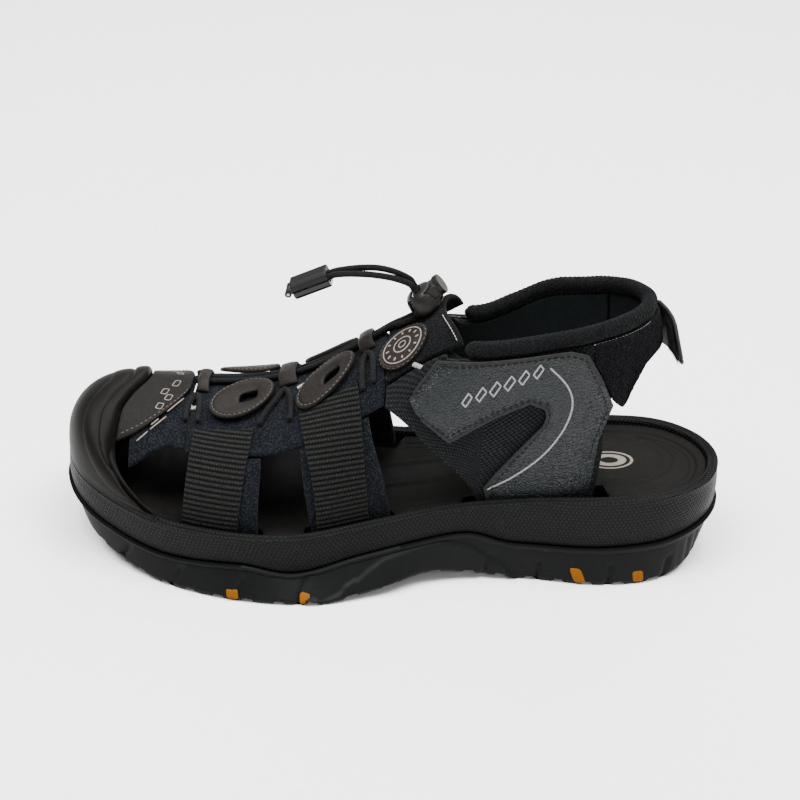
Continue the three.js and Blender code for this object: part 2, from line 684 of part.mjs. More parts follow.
// Hook-and-loop heel strap: sewn down on the big-toe side, loose at its end behind the heel.
const strapOff = 3 * gap + webThickness;
const strapThickness = 1.6;
const strapLow = 92;
const strapHigh = 110.5;
const flapHinge = 134;           // distance along the wall where the loose end starts
const flapLength = 23;
const flapAway = 0.02;           // how far the loose end leans off the heel, radians
const flapCurl = 0.011;
const flapSplay = 0.12;          // its lower edge stands further off than its upper one
const flapLift = 1.1;            // from the seam's inner face to the loose end's inner face

function flapFrame() {
  const low = onWall(flapHinge, strapLow, strapOff);
  const high = onWall(flapHinge, strapHigh, strapOff);
  const ahead = onWall(flapHinge - 1, strapLow, strapOff);
  const up = high.clone().sub(low).normalize();
  const along = ahead.sub(low).normalize();
  const out = along.clone().cross(up).negate().normalize();
  if (out.x < 0) out.negate();
  return { low, up, along, out, height: high.distanceTo(low) };
}

function addHeelStrap() {
  const anchorEnd = 172;
  const anchorTaper = 4;         // how much narrower the strap is where it is sewn down
  const anchorDrop = 5;
  add('heel_strap_anchor', sheet((u, v, layer) => {
    const z = lerp(strapLow, strapHigh - anchorTaper * u, v) - anchorDrop * u * u;
    return onWall(lerp(flapHinge + gap, anchorEnd, u), z, strapOff + strapThickness * layer);
  }, 8, 3), 'leather');
  const { low, up, along, out, height } = flapFrame();
  const flapPoint = (run, share, off) => {
    const lift = flapLift + run * Math.sin(flapAway) - run * run * flapCurl + flapSplay * run * (1 - share);
    return low.clone().addScaledVector(up, share * height)
      .addScaledVector(along, run * Math.cos(flapAway))
      .addScaledVector(out, off + lift);
  };
  add('heel_strap_flap', sheet((u, v, layer) => (
    flapPoint(u * flapLength, v, strapThickness * layer)), 10, 4), 'leather');
  const hooksStart = 8;
  const hooksThickness = 1.2;
  add('heel_strap_hooks', sheet((u, v, layer) => {
    const run = lerp(hooksStart, flapLength - 1.5, u);
    return flapPoint(run, lerp(0.06, 0.94, v), -gap - hooksThickness * (1 - layer));
  }, 8, 3), 'tape');
}

// ---------- lace, cord lock, tails and end clip ----------
const acrossAxis = new THREE.Vector3(0, 1, 0);
const lockTilt = (40 * Math.PI) / 180;
const lockBase = new THREE.Vector3(13.6, 1, 108.4);
const cordSpread = 1.75;         // half the distance between the two cords
const pressTravel = 1.8;

const lockFrame = new THREE.Group();
lockFrame.position.copy(lockBase);
lockFrame.rotation.y = -lockTilt;
sandal.add(lockFrame);

// A point given in the lock's own frame: x up the slope, y across, z out of the foot.
function fromLock(x, y, z) {
  return new THREE.Vector3(x, y, z).applyAxisAngle(acrossAxis, -lockTilt).add(lockBase).toArray();
}

function addLace() {
  const off = gap + laceDiameter / 2;
  const run = (degrees, from, to, count) => Array.from({ length: count }, (_, i) => (
    onForm(lerp(from, to, i / (count - 1)), degrees, off).toArray()));
  const near = 94.6;
  const far = 100.2;
  const front = -84;
  const rear = -1;
  const turn = [onForm(front - 2, lerp(near, far, 0.5), off).toArray()];
  const intoLock = [[-5, 0.6], [-1.5, 1.7], [-0.1, 3.5], [0, 4.9]];
  const into = (y) => intoLock.map(([x, z]) => fromLock(x, y, z));
  const merge = (degrees) => onForm(4.6, degrees, off + 0.1).toArray();
  const route = [
    ...into(-cordSpread).reverse(), merge(89.6),
    ...run(near, rear, front, 9), ...turn, ...run(far, front, rear, 9),
    merge(94.2), ...into(cordSpread),
  ];
  add('lace', cord(route, laceDiameter, 66), 'cord');
}

function box(x0, x1, y0, y1, z0, z1) {
  const geometry = new THREE.BoxGeometry(x1 - x0, y1 - y0, z1 - z0);
  geometry.translate((x0 + x1) / 2, (y0 + y1) / 2, (z0 + z1) / 2);
  return toSolid(geometry);
}

function barrel(radius, y0, y1, x, z) {
  const geometry = new THREE.CylinderGeometry(radius, radius, y1 - y0, 14);
  geometry.translate(x, (y0 + y1) / 2, z);
  return toSolid(geometry);
}

function addCordLock() {
  const profile = [[0, 0], [6.6, 0], [7.4, 1.2], [7.5, 4], [7.1, 6.8], [5.8, 8.8], [3.6, 9.8], [0, 10]];
  const shell = new THREE.LatheGeometry(profile.map(([r, z]) => new THREE.Vector2(r, z)), 28);
  shell.rotateX(Math.PI / 2);
  const cordHalf = laceDiameter / 2 + 0.3;
  const slotHalf = cordSpread + cordHalf;
  const innerEnd = -5.8;
  const body = toSolid(shell)
    .subtract(box(5.7, 12, -9, 9, 1.1, 11))
    .subtract(box(innerEnd, 12, -5.2, 5.2, 3.3, 8.5))
    .subtract(box(-cordHalf, cordHalf, -slotHalf, slotHalf, -1, 12))
    .subtract(box(-3.4, cordHalf, -slotHalf, slotHalf, -1, 4))
    .subtract(box(-9, 0, -slotHalf, slotHalf, -1, 2.4));
  add('cord_lock_body', fromSolid(body), 'plastic', lockFrame);
  const plungerEnd = -2.9;
  const head = new THREE.CylinderGeometry(4.4, 4.4, 2.4, 20);
  head.rotateZ(Math.PI / 2);
  head.translate(9, 0, 5.9);
  const button = box(plungerEnd, 8.2, -4.9, 4.9, 3.6, 8.2)
    .add(toSolid(head))
    .subtract(box(-cordHalf - 0.5, cordHalf + pressTravel + 0.1, -slotHalf, slotHalf, 0, 12));
  add('cord_lock_button', fromSolid(button), 'plastic', lockFrame);
  const turns = 2;
  const coil = Array.from({ length: 22 }, (_, i) => {
    const angle = (i / 21) * turns * 2 * Math.PI;
    const x = lerp(innerEnd + 0.6, plungerEnd - 0.6, i / 21);
    return [x, 1.7 * Math.cos(angle), 5.9 + 1.7 * Math.sin(angle)];
  });
  add('cord_lock_spring', cord(coil, 0.5, 20), 'steel', lockFrame);
}

const clipTilt = (24.6 * Math.PI) / 180;
const clipOrigin = new THREE.Vector3(-42.5, -5.5, 117.6);
const clipFrame = new THREE.Group();
clipFrame.position.copy(clipOrigin);
clipFrame.rotation.y = -clipTilt;
sandal.add(clipFrame);

function fromClip(x, y, z) {
  return new THREE.Vector3(x, y, z).applyAxisAngle(acrossAxis, -clipTilt).add(clipOrigin).toArray();
}

const clipBody = 16;
const hingeX = -1.9;
function addClip() {
  const [halfWidth, halfHeight, skin] = [4.7, 3.8, 1.2];
  const cordNotch = cordSpread + laceDiameter / 2 + 0.25;
  const shellHalf = (up) => {
    const z = (a, b) => (up ? [a, b] : [-b, -a]);
    const hull = new THREE.Shape();
    const side = [
      [-halfWidth, gap / 2], [-halfWidth, 2.2], [-3.2, halfHeight], [3.2, halfHeight], [halfWidth, 2.2],
      [halfWidth, gap / 2],
    ];
    const corners = side.map(([y, h]) => new THREE.Vector2(y, up ? h : -h));
    hull.setFromPoints(corners);
    const geometry = new THREE.ExtrudeGeometry(hull, { depth: clipBody, bevelEnabled: false });
    geometry.rotateX(Math.PI / 2);
    geometry.rotateZ(Math.PI / 2);
    return toSolid(geometry)
      .subtract(box(skin, clipBody - skin, -halfWidth + skin, halfWidth - skin, ...z(-1, halfHeight - skin)))
      .subtract(box(clipBody - 2, clipBody + 1, -cordNotch, cordNotch, ...z(-1, laceDiameter / 2 + 0.3)));
  };
  const bore = barrel(0.8, -6, 6, hingeX, 0);
  const base = shellHalf(false)
    .add(box(hingeX, 0.4, -2.2, 2.2, -1.5, -gap / 2))
    .add(barrel(1.5, -2.2, 2.2, hingeX, 0))
    .subtract(bore);
  add('clip_base', fromSolid(base), 'gloss', clipFrame);
  let cover = shellHalf(true);
  for (const [y0, y1] of [[-4.5, -2.5], [2.5, 4.5]]) {
    cover = cover.add(box(hingeX, 0.4, y0, y1, gap / 2, 1.5)).add(barrel(1.5, y0, y1, hingeX, 0));
  }
  add('clip_cover', fromSolid(cover.subtract(bore)), 'plastic', clipFrame);
  add('clip_hinge_pin', fromSolid(barrel(0.6, -4.4, 4.4, hingeX, 0)), 'steel', clipFrame);
}

// Middle line of the two tails from the lock over to the clip.
const tailLine = [
  [5.0, 0.4, 119.4], [-0.8, -0.6, 122.6], [-8, -2, 124.8], [-16, -3.6, 125.7],
];
function addTails() {
  [-1, 1].forEach((side, i) => {
    const y = side * cordSpread;
    const stack = [0.2, 0.6, 0.8, 0.5];
    const middle = tailLine.map(([x, lineY, z], k) => [
      x, lineY + side * cordSpread * (1 - 0.35 * stack[k]), z + side * stack[k] * 1.35,
    ]);
    const route = [
      fromLock(0, y, 5.3), fromLock(0, y, 8), fromLock(0, y, 11.5), ...middle,
      fromClip(clipBody + 2.5, y, 0), fromClip(clipBody, y, 0), fromClip(clipBody - 3, y, 0),
    ];
    add(`lace_tail_${i + 1}`, cord(route, laceDiameter, 20), 'cord');
  });
}

addOutsole();
addInserts();
addMidsole();
addInsole();
addToeBumper();
addVamp();
addStraps();
addInstep();
addEyelets();
addLaceLoops();
addKeepers();
addBadge();
addQuarters();
addCollar();
addHeelBand();
addHeelStrap();
addLace();
addCordLock();
addClip();
addTails();

// The origin is the middle of the footprint, on the ground; the lace tails and the clip don't count.
const footprint = new THREE.Box3();
sandal.updateMatrixWorld(true);
sandal.traverse((piece) => {
  if (piece.isMesh && !/^(lace_tail|clip)/.test(piece.name)) footprint.expandByObject(piece, true);
});
const middle = footprint.getCenter(new THREE.Vector3());
sandal.position.set(-middle.x, -middle.y, -footprint.min.z);

export default sandal;
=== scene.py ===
# Strappy sport sandal, left foot: the looks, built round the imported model.
# The tables are in millimetres, in the design's own axes; toFrame turns them into metres in the frame.
import math

import bmesh
import bpy
import numpy as np
from mathutils import Matrix, Vector


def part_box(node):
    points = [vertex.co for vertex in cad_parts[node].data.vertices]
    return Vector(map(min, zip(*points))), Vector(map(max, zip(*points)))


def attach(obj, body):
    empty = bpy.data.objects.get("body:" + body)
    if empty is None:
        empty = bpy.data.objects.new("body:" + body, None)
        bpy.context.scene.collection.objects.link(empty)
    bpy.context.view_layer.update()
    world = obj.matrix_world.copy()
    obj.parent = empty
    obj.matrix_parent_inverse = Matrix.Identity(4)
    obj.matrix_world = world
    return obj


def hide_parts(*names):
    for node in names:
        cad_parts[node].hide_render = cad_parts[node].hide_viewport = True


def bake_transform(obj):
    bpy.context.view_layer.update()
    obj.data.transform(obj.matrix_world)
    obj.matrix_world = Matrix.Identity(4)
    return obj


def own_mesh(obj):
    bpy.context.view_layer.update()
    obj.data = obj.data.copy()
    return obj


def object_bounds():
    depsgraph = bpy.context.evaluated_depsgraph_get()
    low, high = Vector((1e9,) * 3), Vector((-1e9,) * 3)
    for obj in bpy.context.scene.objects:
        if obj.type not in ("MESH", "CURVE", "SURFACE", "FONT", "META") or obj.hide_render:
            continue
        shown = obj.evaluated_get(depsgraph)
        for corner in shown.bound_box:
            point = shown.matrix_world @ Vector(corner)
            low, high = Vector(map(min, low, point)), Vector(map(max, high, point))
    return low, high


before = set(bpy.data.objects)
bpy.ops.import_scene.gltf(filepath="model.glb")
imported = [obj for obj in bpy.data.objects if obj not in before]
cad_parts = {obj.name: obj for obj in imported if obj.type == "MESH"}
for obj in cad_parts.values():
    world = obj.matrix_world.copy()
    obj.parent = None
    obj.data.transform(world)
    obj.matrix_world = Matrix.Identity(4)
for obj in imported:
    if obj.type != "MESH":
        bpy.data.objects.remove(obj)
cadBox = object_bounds()
print("frame loaded")

millimetre = 0.001
pinLow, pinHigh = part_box("clip_hinge_pin")
pinInDesign = np.array([-44.2275, -5.5, 116.8091])     # middle of the clip's hinge pin
shift = (np.array(pinLow) + np.array(pinHigh)) / 2 / millimetre - pinInDesign


def toFrame(points):
    return (np.asarray(points, float) + shift) * millimetre


# the shared shape of foot and sole

sole = {
    "outline": [
        (139, 0), (133, -19), (116, -31.5), (90, -36), (58, -35.5), (24, -37.5), (-8, -45.5), (-36, -53),
        (-64, -54), (-92, -48), (-116, -35.5), (-134, -19), (-141, 3), (-135, 24), (-116, 40), (-90, 48.5),
        (-60, 49), (-30, 42), (0, 33), (28, 29.5), (58, 31), (90, 34.5), (116, 31), (133, 18)],
    "toeIndex": 12,
    "rimHeight": [
        (-141, 36), (-118, 31), (-90, 28), (-45, 27), (0, 31), (40, 36), (75, 39), (110, 41), (139, 42)],
    "treadHeight": [
        (-141, 15), (-128, 8.5), (-108, 3), (-88, 0), (-30, 0), (-5, 3.5), (15, 5.5), (35, 3), (58, 0),
        (108, 0), (124, 2.5), (139, 10)],
    "partingHeight": [
        (-141, 24), (-120, 17), (-90, 13), (-62, 14), (-40, 10), (-14, 15), (10, 19), (32, 22), (52, 17),
        (80, 16), (110, 18), (139, 24)],
    "flare": [
        (-141, -3), (-120, 1), (-90, 3.5), (-60, 6.5), (-30, 9), (-5, 8), (15, 3.5), (45, 1.5), (70, 3),
        (90, 4), (120, 1), (139, -4)],
    "medialFlareShare": 0.6,
    "rimWidth": 4.5,
    "sockDepth": 9.4,           # from the rim's top to the insole board
}
foot = {
    "baseInset": 7.2,           # from the rim's edge to the foot form
    "ridgeHeight": [
        (-141, 40), (-137, 49), (-129, 56), (-115, 61), (-100, 61), (-80, 61.5), (-60, 64.5), (-40, 71),
        (-20, 83), (0, 97), (15, 108), (30, 124), (50, 144), (68, 152)],
    "ridgeLine": [(-142, 8), (-110, 12), (-80, 8), (-40, 3), (0, 0), (68, 0)],
    "roundness": [(-142, 2.3), (-60, 2.2), (-20, 2.3), (20, 2.7), (50, 3), (68, 3)],
    "heelBack": [(30, 104), (60, 104), (80, 106.5), (92, 108), (105, 106.5), (120, 102.5), (135, 99)],
    "quarterStart": 68,
    "heelMiddle": 124.5,
    "laceLine": 97,             # degrees over the form where the lace runs
}
gap = 0.3
liningThickness = 2.6
webThickness = 1.7
heelEnd = 2 * foot["heelMiddle"]


def lerp(a, b, share):
    return a + (b - a) * share


def smoothCurve(table, x):
    knots = np.array(table, float)
    slopes = np.diff(knots[:, 1]) / np.diff(knots[:, 0])
    before, after = slopes[:-1], slopes[1:]
    inner = np.zeros(len(before))
    same = before * after > 0
    inner[same] = 2 * before[same] * after[same] / (before + after)[same]
    tangents = np.concatenate([slopes[:1], inner, slopes[-1:]])
    at = np.clip(x, knots[0, 0], knots[-1, 0])
    i = np.clip(np.searchsorted(knots[:, 0], at, side="right") - 1, 0, len(knots) - 2)
    h = knots[i + 1, 0] - knots[i, 0]
    s = (at - knots[i, 0]) / h
    r = 1 - s
    return ((1 + 2 * s) * r * r * knots[i, 1] + s * r * r * h * tangents[i]
            + s * s * (3 - 2 * s) * knots[i + 1, 1] - s * s * r * h * tangents[i + 1])


def outlinePoint(k):
    knots = np.array(sole["outline"], float)
    n = len(knots)
    i = np.floor(k).astype(int)
    s = (k - i)[..., None]
    p0, p1, p2, p3 = [knots[(i + step) % n] for step in (-1, 0, 1, 2)]
    return 0.5 * (2 * p1 + (p2 - p0) * s + (2 * p0 - 5 * p1 + 4 * p2 - p3) * s * s
                  + (3 * p1 - p0 - 3 * p2 + p3) * s ** 3)


def sampleOutline(count):
    # evenly spaced along each side, heel middle first, toe tip half way round
    ring = []
    for start, stop in ((0, sole["toeIndex"]), (sole["toeIndex"], len(sole["outline"]))):
        fine = outlinePoint(np.linspace(start, stop, 2001))
        run = np.concatenate([[0], np.cumsum(np.linalg.norm(np.diff(fine, axis=0), axis=1))])
        target = run[-1] * np.arange(count // 2) / (count // 2)
        ring.append(np.stack([np.interp(target, run, fine[:, c]) for c in (0, 1)], 1))
    return np.concatenate(ring)


def outlineRing(base, grow, height):
    ahead = np.roll(base, -1, 0) - np.roll(base, 1, 0)
    ahead /= np.linalg.norm(ahead, axis=1)[:, None]
    x = base[:, 0] - ahead[:, 1] * grow
    y = base[:, 1] + ahead[:, 0] * grow
    return np.stack([x, y, np.broadcast_to(height, x.shape)], 1)


def rimTop(x):
    return smoothCurve(sole["rimHeight"], x)


def treadAt(x):
    return smoothCurve(sole["treadHeight"], x)


def partingAt(x):
    return smoothCurve(sole["partingHeight"], x)


def flareAt(x, y):
    return smoothCurve(sole["flare"], x) * np.where(y > 0, sole["medialFlareShare"], 1)


footOutline = outlineRing(sampleOutline(480), -foot["baseInset"], 0)


def sideEdge(x, medial):
    side = footOutline[(footOutline[:, 1] >= 1) == medial]
    side = side[np.argsort(side[:, 0])]
    return np.interp(x, side[:, 0], side[:, 1])


def formPoint(x, degrees):
    # 0 little-toe base, 90 ridge, 180 big-toe base; beyond that straight down, a millimetre a degree
    x, degrees = np.broadcast_arrays(np.asarray(x, float), np.asarray(degrees, float))
    under = np.maximum(0, np.maximum(-degrees, degrees - 180))
    angle = np.radians(np.clip(degrees, 0, 180))
    c, s = np.cos(angle), np.sin(angle)
    base = rimTop(x) - 4
    power = 2 / smoothCurve(foot["roundness"], x)
    middle = smoothCurve(foot["ridgeLine"], x)
    width = np.where(c > 0, middle - sideEdge(x, False), sideEdge(x, True) - middle)
    y = middle - width * np.sign(c) * np.abs(c) ** power
    z = base + (smoothCurve(foot["ridgeHeight"], x) - base) * np.abs(s) ** power - under
    return np.stack([x, y, z], -1)


def degreesAt(x, z):
    base = rimTop(x) - 4
    part = np.clip((z - base) / (smoothCurve(foot["ridgeHeight"], x) - base), 0, 1)
    over = np.degrees(np.arcsin(part ** (smoothCurve(foot["roundness"], x) / 2)))
    return np.where(z < base, z - base, over)


def wallPoint(along, z):
    # along is x up to the quarter's start, then round the heel, then mirrored
    along, z = np.broadcast_arrays(np.asarray(along, float), np.asarray(z, float))
    start, middle = foot["quarterStart"], foot["heelMiddle"]
    medial = along > middle
    u = np.where(medial, heelEnd - along, along)
    x = np.minimum(u, start)
    degrees = degreesAt(x, z)
    p = formPoint(x, np.where(medial, 180 - degrees, degrees))
    turn = np.clip((u - start) / (middle - start), 0, None) * math.pi / 2
    back = start + (smoothCurve(foot["heelBack"], z) - start) * np.sin(turn)
    round_ = u > start
    return np.stack([np.where(round_, back, p[..., 0]), p[..., 1] * np.where(round_, np.cos(turn), 1), z],
                    -1)


def lifted(surface, a, b, off):
    e = 0.3
    across = np.cross(surface(a + e, b) - surface(a - e, b), surface(a, b + e) - surface(a, b - e))
    across /= np.maximum(np.linalg.norm(across, axis=-1), 1e-9)[..., None]
    return surface(a, b) + across * np.asarray(off)[..., None]


def onForm(x, degrees, off):
    x, degrees = np.broadcast_arrays(np.asarray(x, float), np.asarray(degrees, float))
    return lifted(formPoint, x, degrees, off)


def mirrored(degrees):
    spare = 2 * (foot["laceLine"] - 90)
    return 180 - degrees + spare * np.sin(np.radians(degrees)) ** 4


def rotatedY(points, angle, origin):
    c, s = math.cos(angle), math.sin(angle)
    p = np.atleast_2d(np.asarray(points, float))
    return np.stack([p[:, 0] * c + p[:, 2] * s, p[:, 1], p[:, 2] * c - p[:, 0] * s], 1) + np.array(origin)


lock = {"tilt": math.radians(40), "base": (13.6, 1, 108.4), "cordSpread": 1.75}
clip = {"tilt": math.radians(24.6), "origin": (-42.5, -5.5, 117.6), "body": 16}


def fromLock(x, y, z):
    return rotatedY([x, y, z], -lock["tilt"], lock["base"])[0]


def lockPoints(local):
    return rotatedY(local.reshape(-1, 3), -lock["tilt"], lock["base"]).reshape(local.shape)


def fromClip(x, y, z):
    return rotatedY([x, y, z], -clip["tilt"], clip["origin"])[0]


# mesh building

def shellQuads(rows, columns):
    # an outer grid, the same grid turned over below it, and the four edges between them
    below = rows * columns
    index = np.arange(below).reshape(rows, columns)
    quads = [gridQuads(rows, columns), gridQuads(rows, columns)[:, ::-1] + below]
    edges = ((index[:-1, 0], index[1:, 0]), (index[1:, -1], index[:-1, -1]),
             (index[0, 1:], index[0, :-1]), (index[-1, :-1], index[-1, 1:]))
    for a, b in edges:
        quads.append(np.stack([a, a + below, b + below, b], 1))
    return np.concatenate(quads)


def gridQuads(rows, columns, start=0, wrapRows=False):
    i, j = np.meshgrid(np.arange(rows - (0 if wrapRows else 1)), np.arange(columns - 1), indexing="ij")
    a = start + i * columns + j
    b = start + ((i + 1) % rows) * columns + j
    return np.stack([a, b, b + 1, a + 1], -1).reshape(-1, 4)


def meshPiece(name, points, quads, uv=None, sharp=None, weld=0.0):
    # uv holds one pair for each corner of each quad, in millimetres
    mesh = bpy.data.meshes.new(name)
    p = points[quads]
    volume = np.einsum("ij,ij->i", p[:, 0], np.cross(p[:, 1], p[:, 2]) + np.cross(p[:, 2], p[:, 3])).sum()
    if volume < 0:
        quads = quads[:, ::-1]
        uv = None if uv is None else uv[:, ::-1]
    mesh.vertices.add(len(points))
    mesh.vertices.foreach_set("co", toFrame(points).astype(np.float32).ravel())
    mesh.loops.add(quads.size)
    mesh.loops.foreach_set("vertex_index", quads.astype(np.int32).ravel())
    mesh.polygons.add(len(quads))
    mesh.polygons.foreach_set("loop_start", np.arange(0, quads.size, 4, dtype=np.int32))
    mesh.update(calc_edges=True)
    if uv is not None:
        layer = mesh.uv_layers.new(name="clothMap")
        layer.data.foreach_set("uv", uv.astype(np.float32).ravel())
    if weld:
        cleaner = bmesh.new()
        cleaner.from_mesh(mesh)
        bmesh.ops.remove_doubles(cleaner, verts=cleaner.verts, dist=weld * millimetre)
        cleaner.to_mesh(mesh)
        cleaner.free()
    mesh.validate()
    mesh.polygons.foreach_set("use_smooth", np.ones(len(mesh.polygons), bool))
    if sharp:
        mesh.set_sharp_from_angle(angle=math.radians(sharp))
    piece = bpy.data.objects.new(name, mesh)
    bpy.context.scene.collection.objects.link(piece)
    return piece


def place(piece, finish, body="sandal", replaces=()):
    piece.data.materials.append(finish)
    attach(piece, body)
    if replaces:
        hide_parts(*replaces)
    return piece


def rimSteps(count, radius):
    # even steps from 0 to 1, with a few close ones in the rounded rim at each end
    bend = radius * (1 - np.cos(np.linspace(0, math.pi / 2, 5)[:-1]))
    return np.concatenate([bend, np.linspace(radius, 1 - radius, count), 1 - bend[::-1]])


def rimProfile(share, radius, least):
    d = np.clip(np.minimum(share, 1 - share) / radius, 0, 1)
    return least + (1 - least) * np.sqrt(np.maximum(0, 1 - (1 - d) ** 2))


def gridLengths(points):
    along = np.linalg.norm(np.diff(points, axis=0), axis=2)
    across = np.linalg.norm(np.diff(points, axis=1), axis=2)
    u = np.concatenate([np.zeros((1, points.shape[1])), np.cumsum(along, 0)])
    v = np.concatenate([np.zeros((points.shape[0], 1)), np.cumsum(across, 1)], 1)
    return np.stack([u, v], -1)


def sheetPiece(name, surface, path, low, high, counts, edge=0.8, least=0.35, relief=None, ring=False):
    # a sheet with rounded rims between the offsets low and high; path gives the surface's two parameters
    coarse = np.meshgrid(np.linspace(0, 1, 13), np.linspace(0, 1, 13), indexing="ij")
    lengths = gridLengths(lifted(surface, *path(*coarse), 0 * coarse[0]))
    lengthU, lengthV = lengths[-1, :, 0].mean(), lengths[:, -1, 1].mean()
    radiusU, radiusV = min(edge / lengthU, 0.4), min(edge / lengthV, 0.4)
    us = np.linspace(0, 1, counts[0] + 1) if ring else rimSteps(counts[0], radiusU)
    u, v = np.meshgrid(us, rimSteps(counts[1], radiusV), indexing="ij")
    profile = rimProfile(v, radiusV, least)
    if not ring:
        profile = profile * rimProfile(u, radiusU, least)
    a, b = path(u, v)
    low, high = [value(u, v) if callable(value) else value for value in (low, high)]
    half = (high - low) / 2
    outside = lifted(surface, a, b, low + half + half * profile)
    uv = gridLengths(outside)
    if relief is not None:
        outside = lifted(surface, a, b, low + half + half * profile + relief(u, v, uv) * profile ** 4)
    inside = lifted(surface, a, b, low + half - half * profile)
    rows, columns = u.shape
    kept = rows - 1 if ring else rows
    points = np.concatenate([outside[:kept].reshape(-1, 3), inside[:kept].reshape(-1, 3)])
    inner = kept * columns
    index = np.arange(rows * columns).reshape(rows, columns)
    outer = gridQuads(rows, columns)
    parts = [outer, outer[:, ::-1] + rows * columns]
    edges = [(index[:-1, 0], index[1:, 0]), (index[1:, -1], index[:-1, -1])]
    if not ring:
        edges += [(index[0, 1:], index[0, :-1]), (index[-1, :-1], index[-1, 1:])]
    for a, b in edges:
        parts.append(np.stack([a, a + rows * columns, b + rows * columns, b], 1))
    quads = np.concatenate(parts)
    corners = np.concatenate([uv.reshape(-1, 2)] * 2)[quads]
    layer, local = quads // (rows * columns), quads % (rows * columns)
    row = local // columns
    local = np.where(ring & (row == rows - 1), local - (rows - 1) * columns, local)
    return meshPiece(name, points, layer * inner + local, corners)


def ladderGrid(ring, columns):
    half = len(ring) // 2
    left = ring[:half + 1]
    right = ring[(-np.arange(half + 1)) % len(ring)]
    share = np.linspace(0, 1, columns + 1)[None, :, None]
    return left[:, None, :] * (1 - share) + right[:, None, :] * share


def ringsPiece(name, rings, bottom=None, top=None, sharp=None):
    # rings closed round the sole, with a ladder grid filling the first and the last
    rings = np.stack(rings)
    count, n = rings.shape[:2]
    points = [rings.reshape(-1, 3)]
    i, j = np.meshgrid(np.arange(count - 1), np.arange(n), indexing="ij")
    a = i * n + j
    b = i * n + (j + 1) % n
    quads = [np.stack([a, b, b + n, a + n], -1).reshape(-1, 4)]
    closed = np.concatenate([rings, rings[:, :1]], 1)
    run = gridLengths(closed.transpose(1, 0, 2)).transpose(1, 0, 2)
    corners = [np.stack([run[i, j], run[i, j + 1], run[i + 1, j + 1], run[i + 1, j]], 2).reshape(-1, 4, 2)]
    start = count * n
    for grid, turned in ((bottom, False), (top, True)):
        if grid is None:
            continue
        rows, columns = grid.shape[:2]
        cells = gridQuads(rows, columns)
        flat = grid.reshape(-1, 3)
        points.append(flat)
        cells = cells if turned else cells[:, ::-1]
        corners.append(flat[cells][..., :2])
        quads.append(cells + start)
        start += rows * columns
    return meshPiece(name, np.concatenate(points), np.concatenate(quads), np.concatenate(corners), sharp,
                     weld=0.003)


def cordPath(route, spacing):
    # the centripetal spline of the model's cords, at even steps
    p = np.array(route, float)
    p = np.concatenate([[2 * p[0] - p[1]], p, [2 * p[-1] - p[-2]]])
    fine = []
    share = np.linspace(0, 1, 40, endpoint=False)[:, None]
    for k in range(len(p) - 3):
        x0, x1, x2, x3 = p[k:k + 4]
        d0, d1, d2 = [max(np.linalg.norm(b - a) ** 0.5, 1e-4) for a, b in ((x0, x1), (x1, x2), (x2, x3))]
        t1 = ((x1 - x0) / d0 - (x2 - x0) / (d0 + d1) + (x2 - x1) / d1) * d1
        t2 = ((x2 - x1) / d1 - (x3 - x1) / (d1 + d2) + (x3 - x2) / d2) * d1
        fine.append(x1 + t1 * share + (3 * (x2 - x1) - 2 * t1 - t2) * share ** 2
                    + (2 * (x1 - x2) + t1 + t2) * share ** 3)
    fine = np.concatenate(fine + [p[-2:-1]])
    run = np.concatenate([[0], np.cumsum(np.linalg.norm(np.diff(fine, axis=0), axis=1))])
    steps = np.linspace(0, run[-1], max(3, int(run[-1] / spacing) + 1))
    return np.stack([np.interp(steps, run, fine[:, c]) for c in range(3)], 1)


def pathLength(path):
    return float(np.linalg.norm(np.diff(path, axis=0), axis=1).sum())


def tubePiece(name, path, radius, sides=14, relief=None, blunt=0.6):
    # a round tube with rounded ends; relief(angle, run) adds to the radius
    ahead = np.gradient(path, axis=0)
    ahead /= np.linalg.norm(ahead, axis=1)[:, None]
    side = np.cross(ahead[0], [0.3, 1, 0.2])
    sidesList = []
    for direction in ahead:
        side = side - direction * (side @ direction)
        side = side / np.linalg.norm(side)
        sidesList.append(side)
    first = np.array(sidesList)
    second = np.cross(ahead, first)
    run = np.concatenate([[0], np.cumsum(np.linalg.norm(np.diff(path, axis=0), axis=1))])
    near = np.clip(np.minimum(run, run[-1] - run) / (blunt * radius), 0, 1)
    size = radius * np.sqrt(np.maximum(1e-6, 1 - (1 - near) ** 2))
    angle = np.linspace(0, 2 * math.pi, sides + 1)
    bulge = 0 if relief is None else relief(angle[None, :], run[:, None])
    reach = (size[:, None] + bulge * near[:, None])[..., None]
    points = path[:, None] + reach * (first[:, None] * np.cos(angle)[None, :, None]
                                      + second[:, None] * np.sin(angle)[None, :, None])
    uv = np.stack(np.broadcast_arrays(angle[None, :] * radius, run[:, None]), -1)
    rows, columns = points.shape[:2]
    quads = gridQuads(rows, columns)
    corners = uv.reshape(-1, 2)[quads]
    ends = []
    for row in (0, rows - 1):
        cap = np.arange(columns - 1).reshape(2, -1) + row * columns
        cap = np.stack([cap[0, :-1], cap[0, 1:], cap[1, ::-1][1:], cap[1, ::-1][:-1]], 1)
        ends.append(cap if row else cap[:, ::-1])
    ends = np.concatenate(ends)
    return meshPiece(name, points.reshape(-1, 3), np.concatenate([quads, ends]),
                     np.concatenate([corners, uv.reshape(-1, 2)[ends]]), weld=0.003)


def joinGrids(name, grids, weld=0.0):
    # several separate grids of points in one mesh
    points, quads, start = [], [], 0
    for grid in grids:
        rows, columns = grid.shape[:2]
        quads.append(gridQuads(rows, columns, start))
        points.append(grid.reshape(-1, 3))
        start += rows * columns
    quads = np.concatenate(quads)
    points = np.concatenate(points)
    return meshPiece(name, points, quads, points[quads][..., :2], weld=weld)


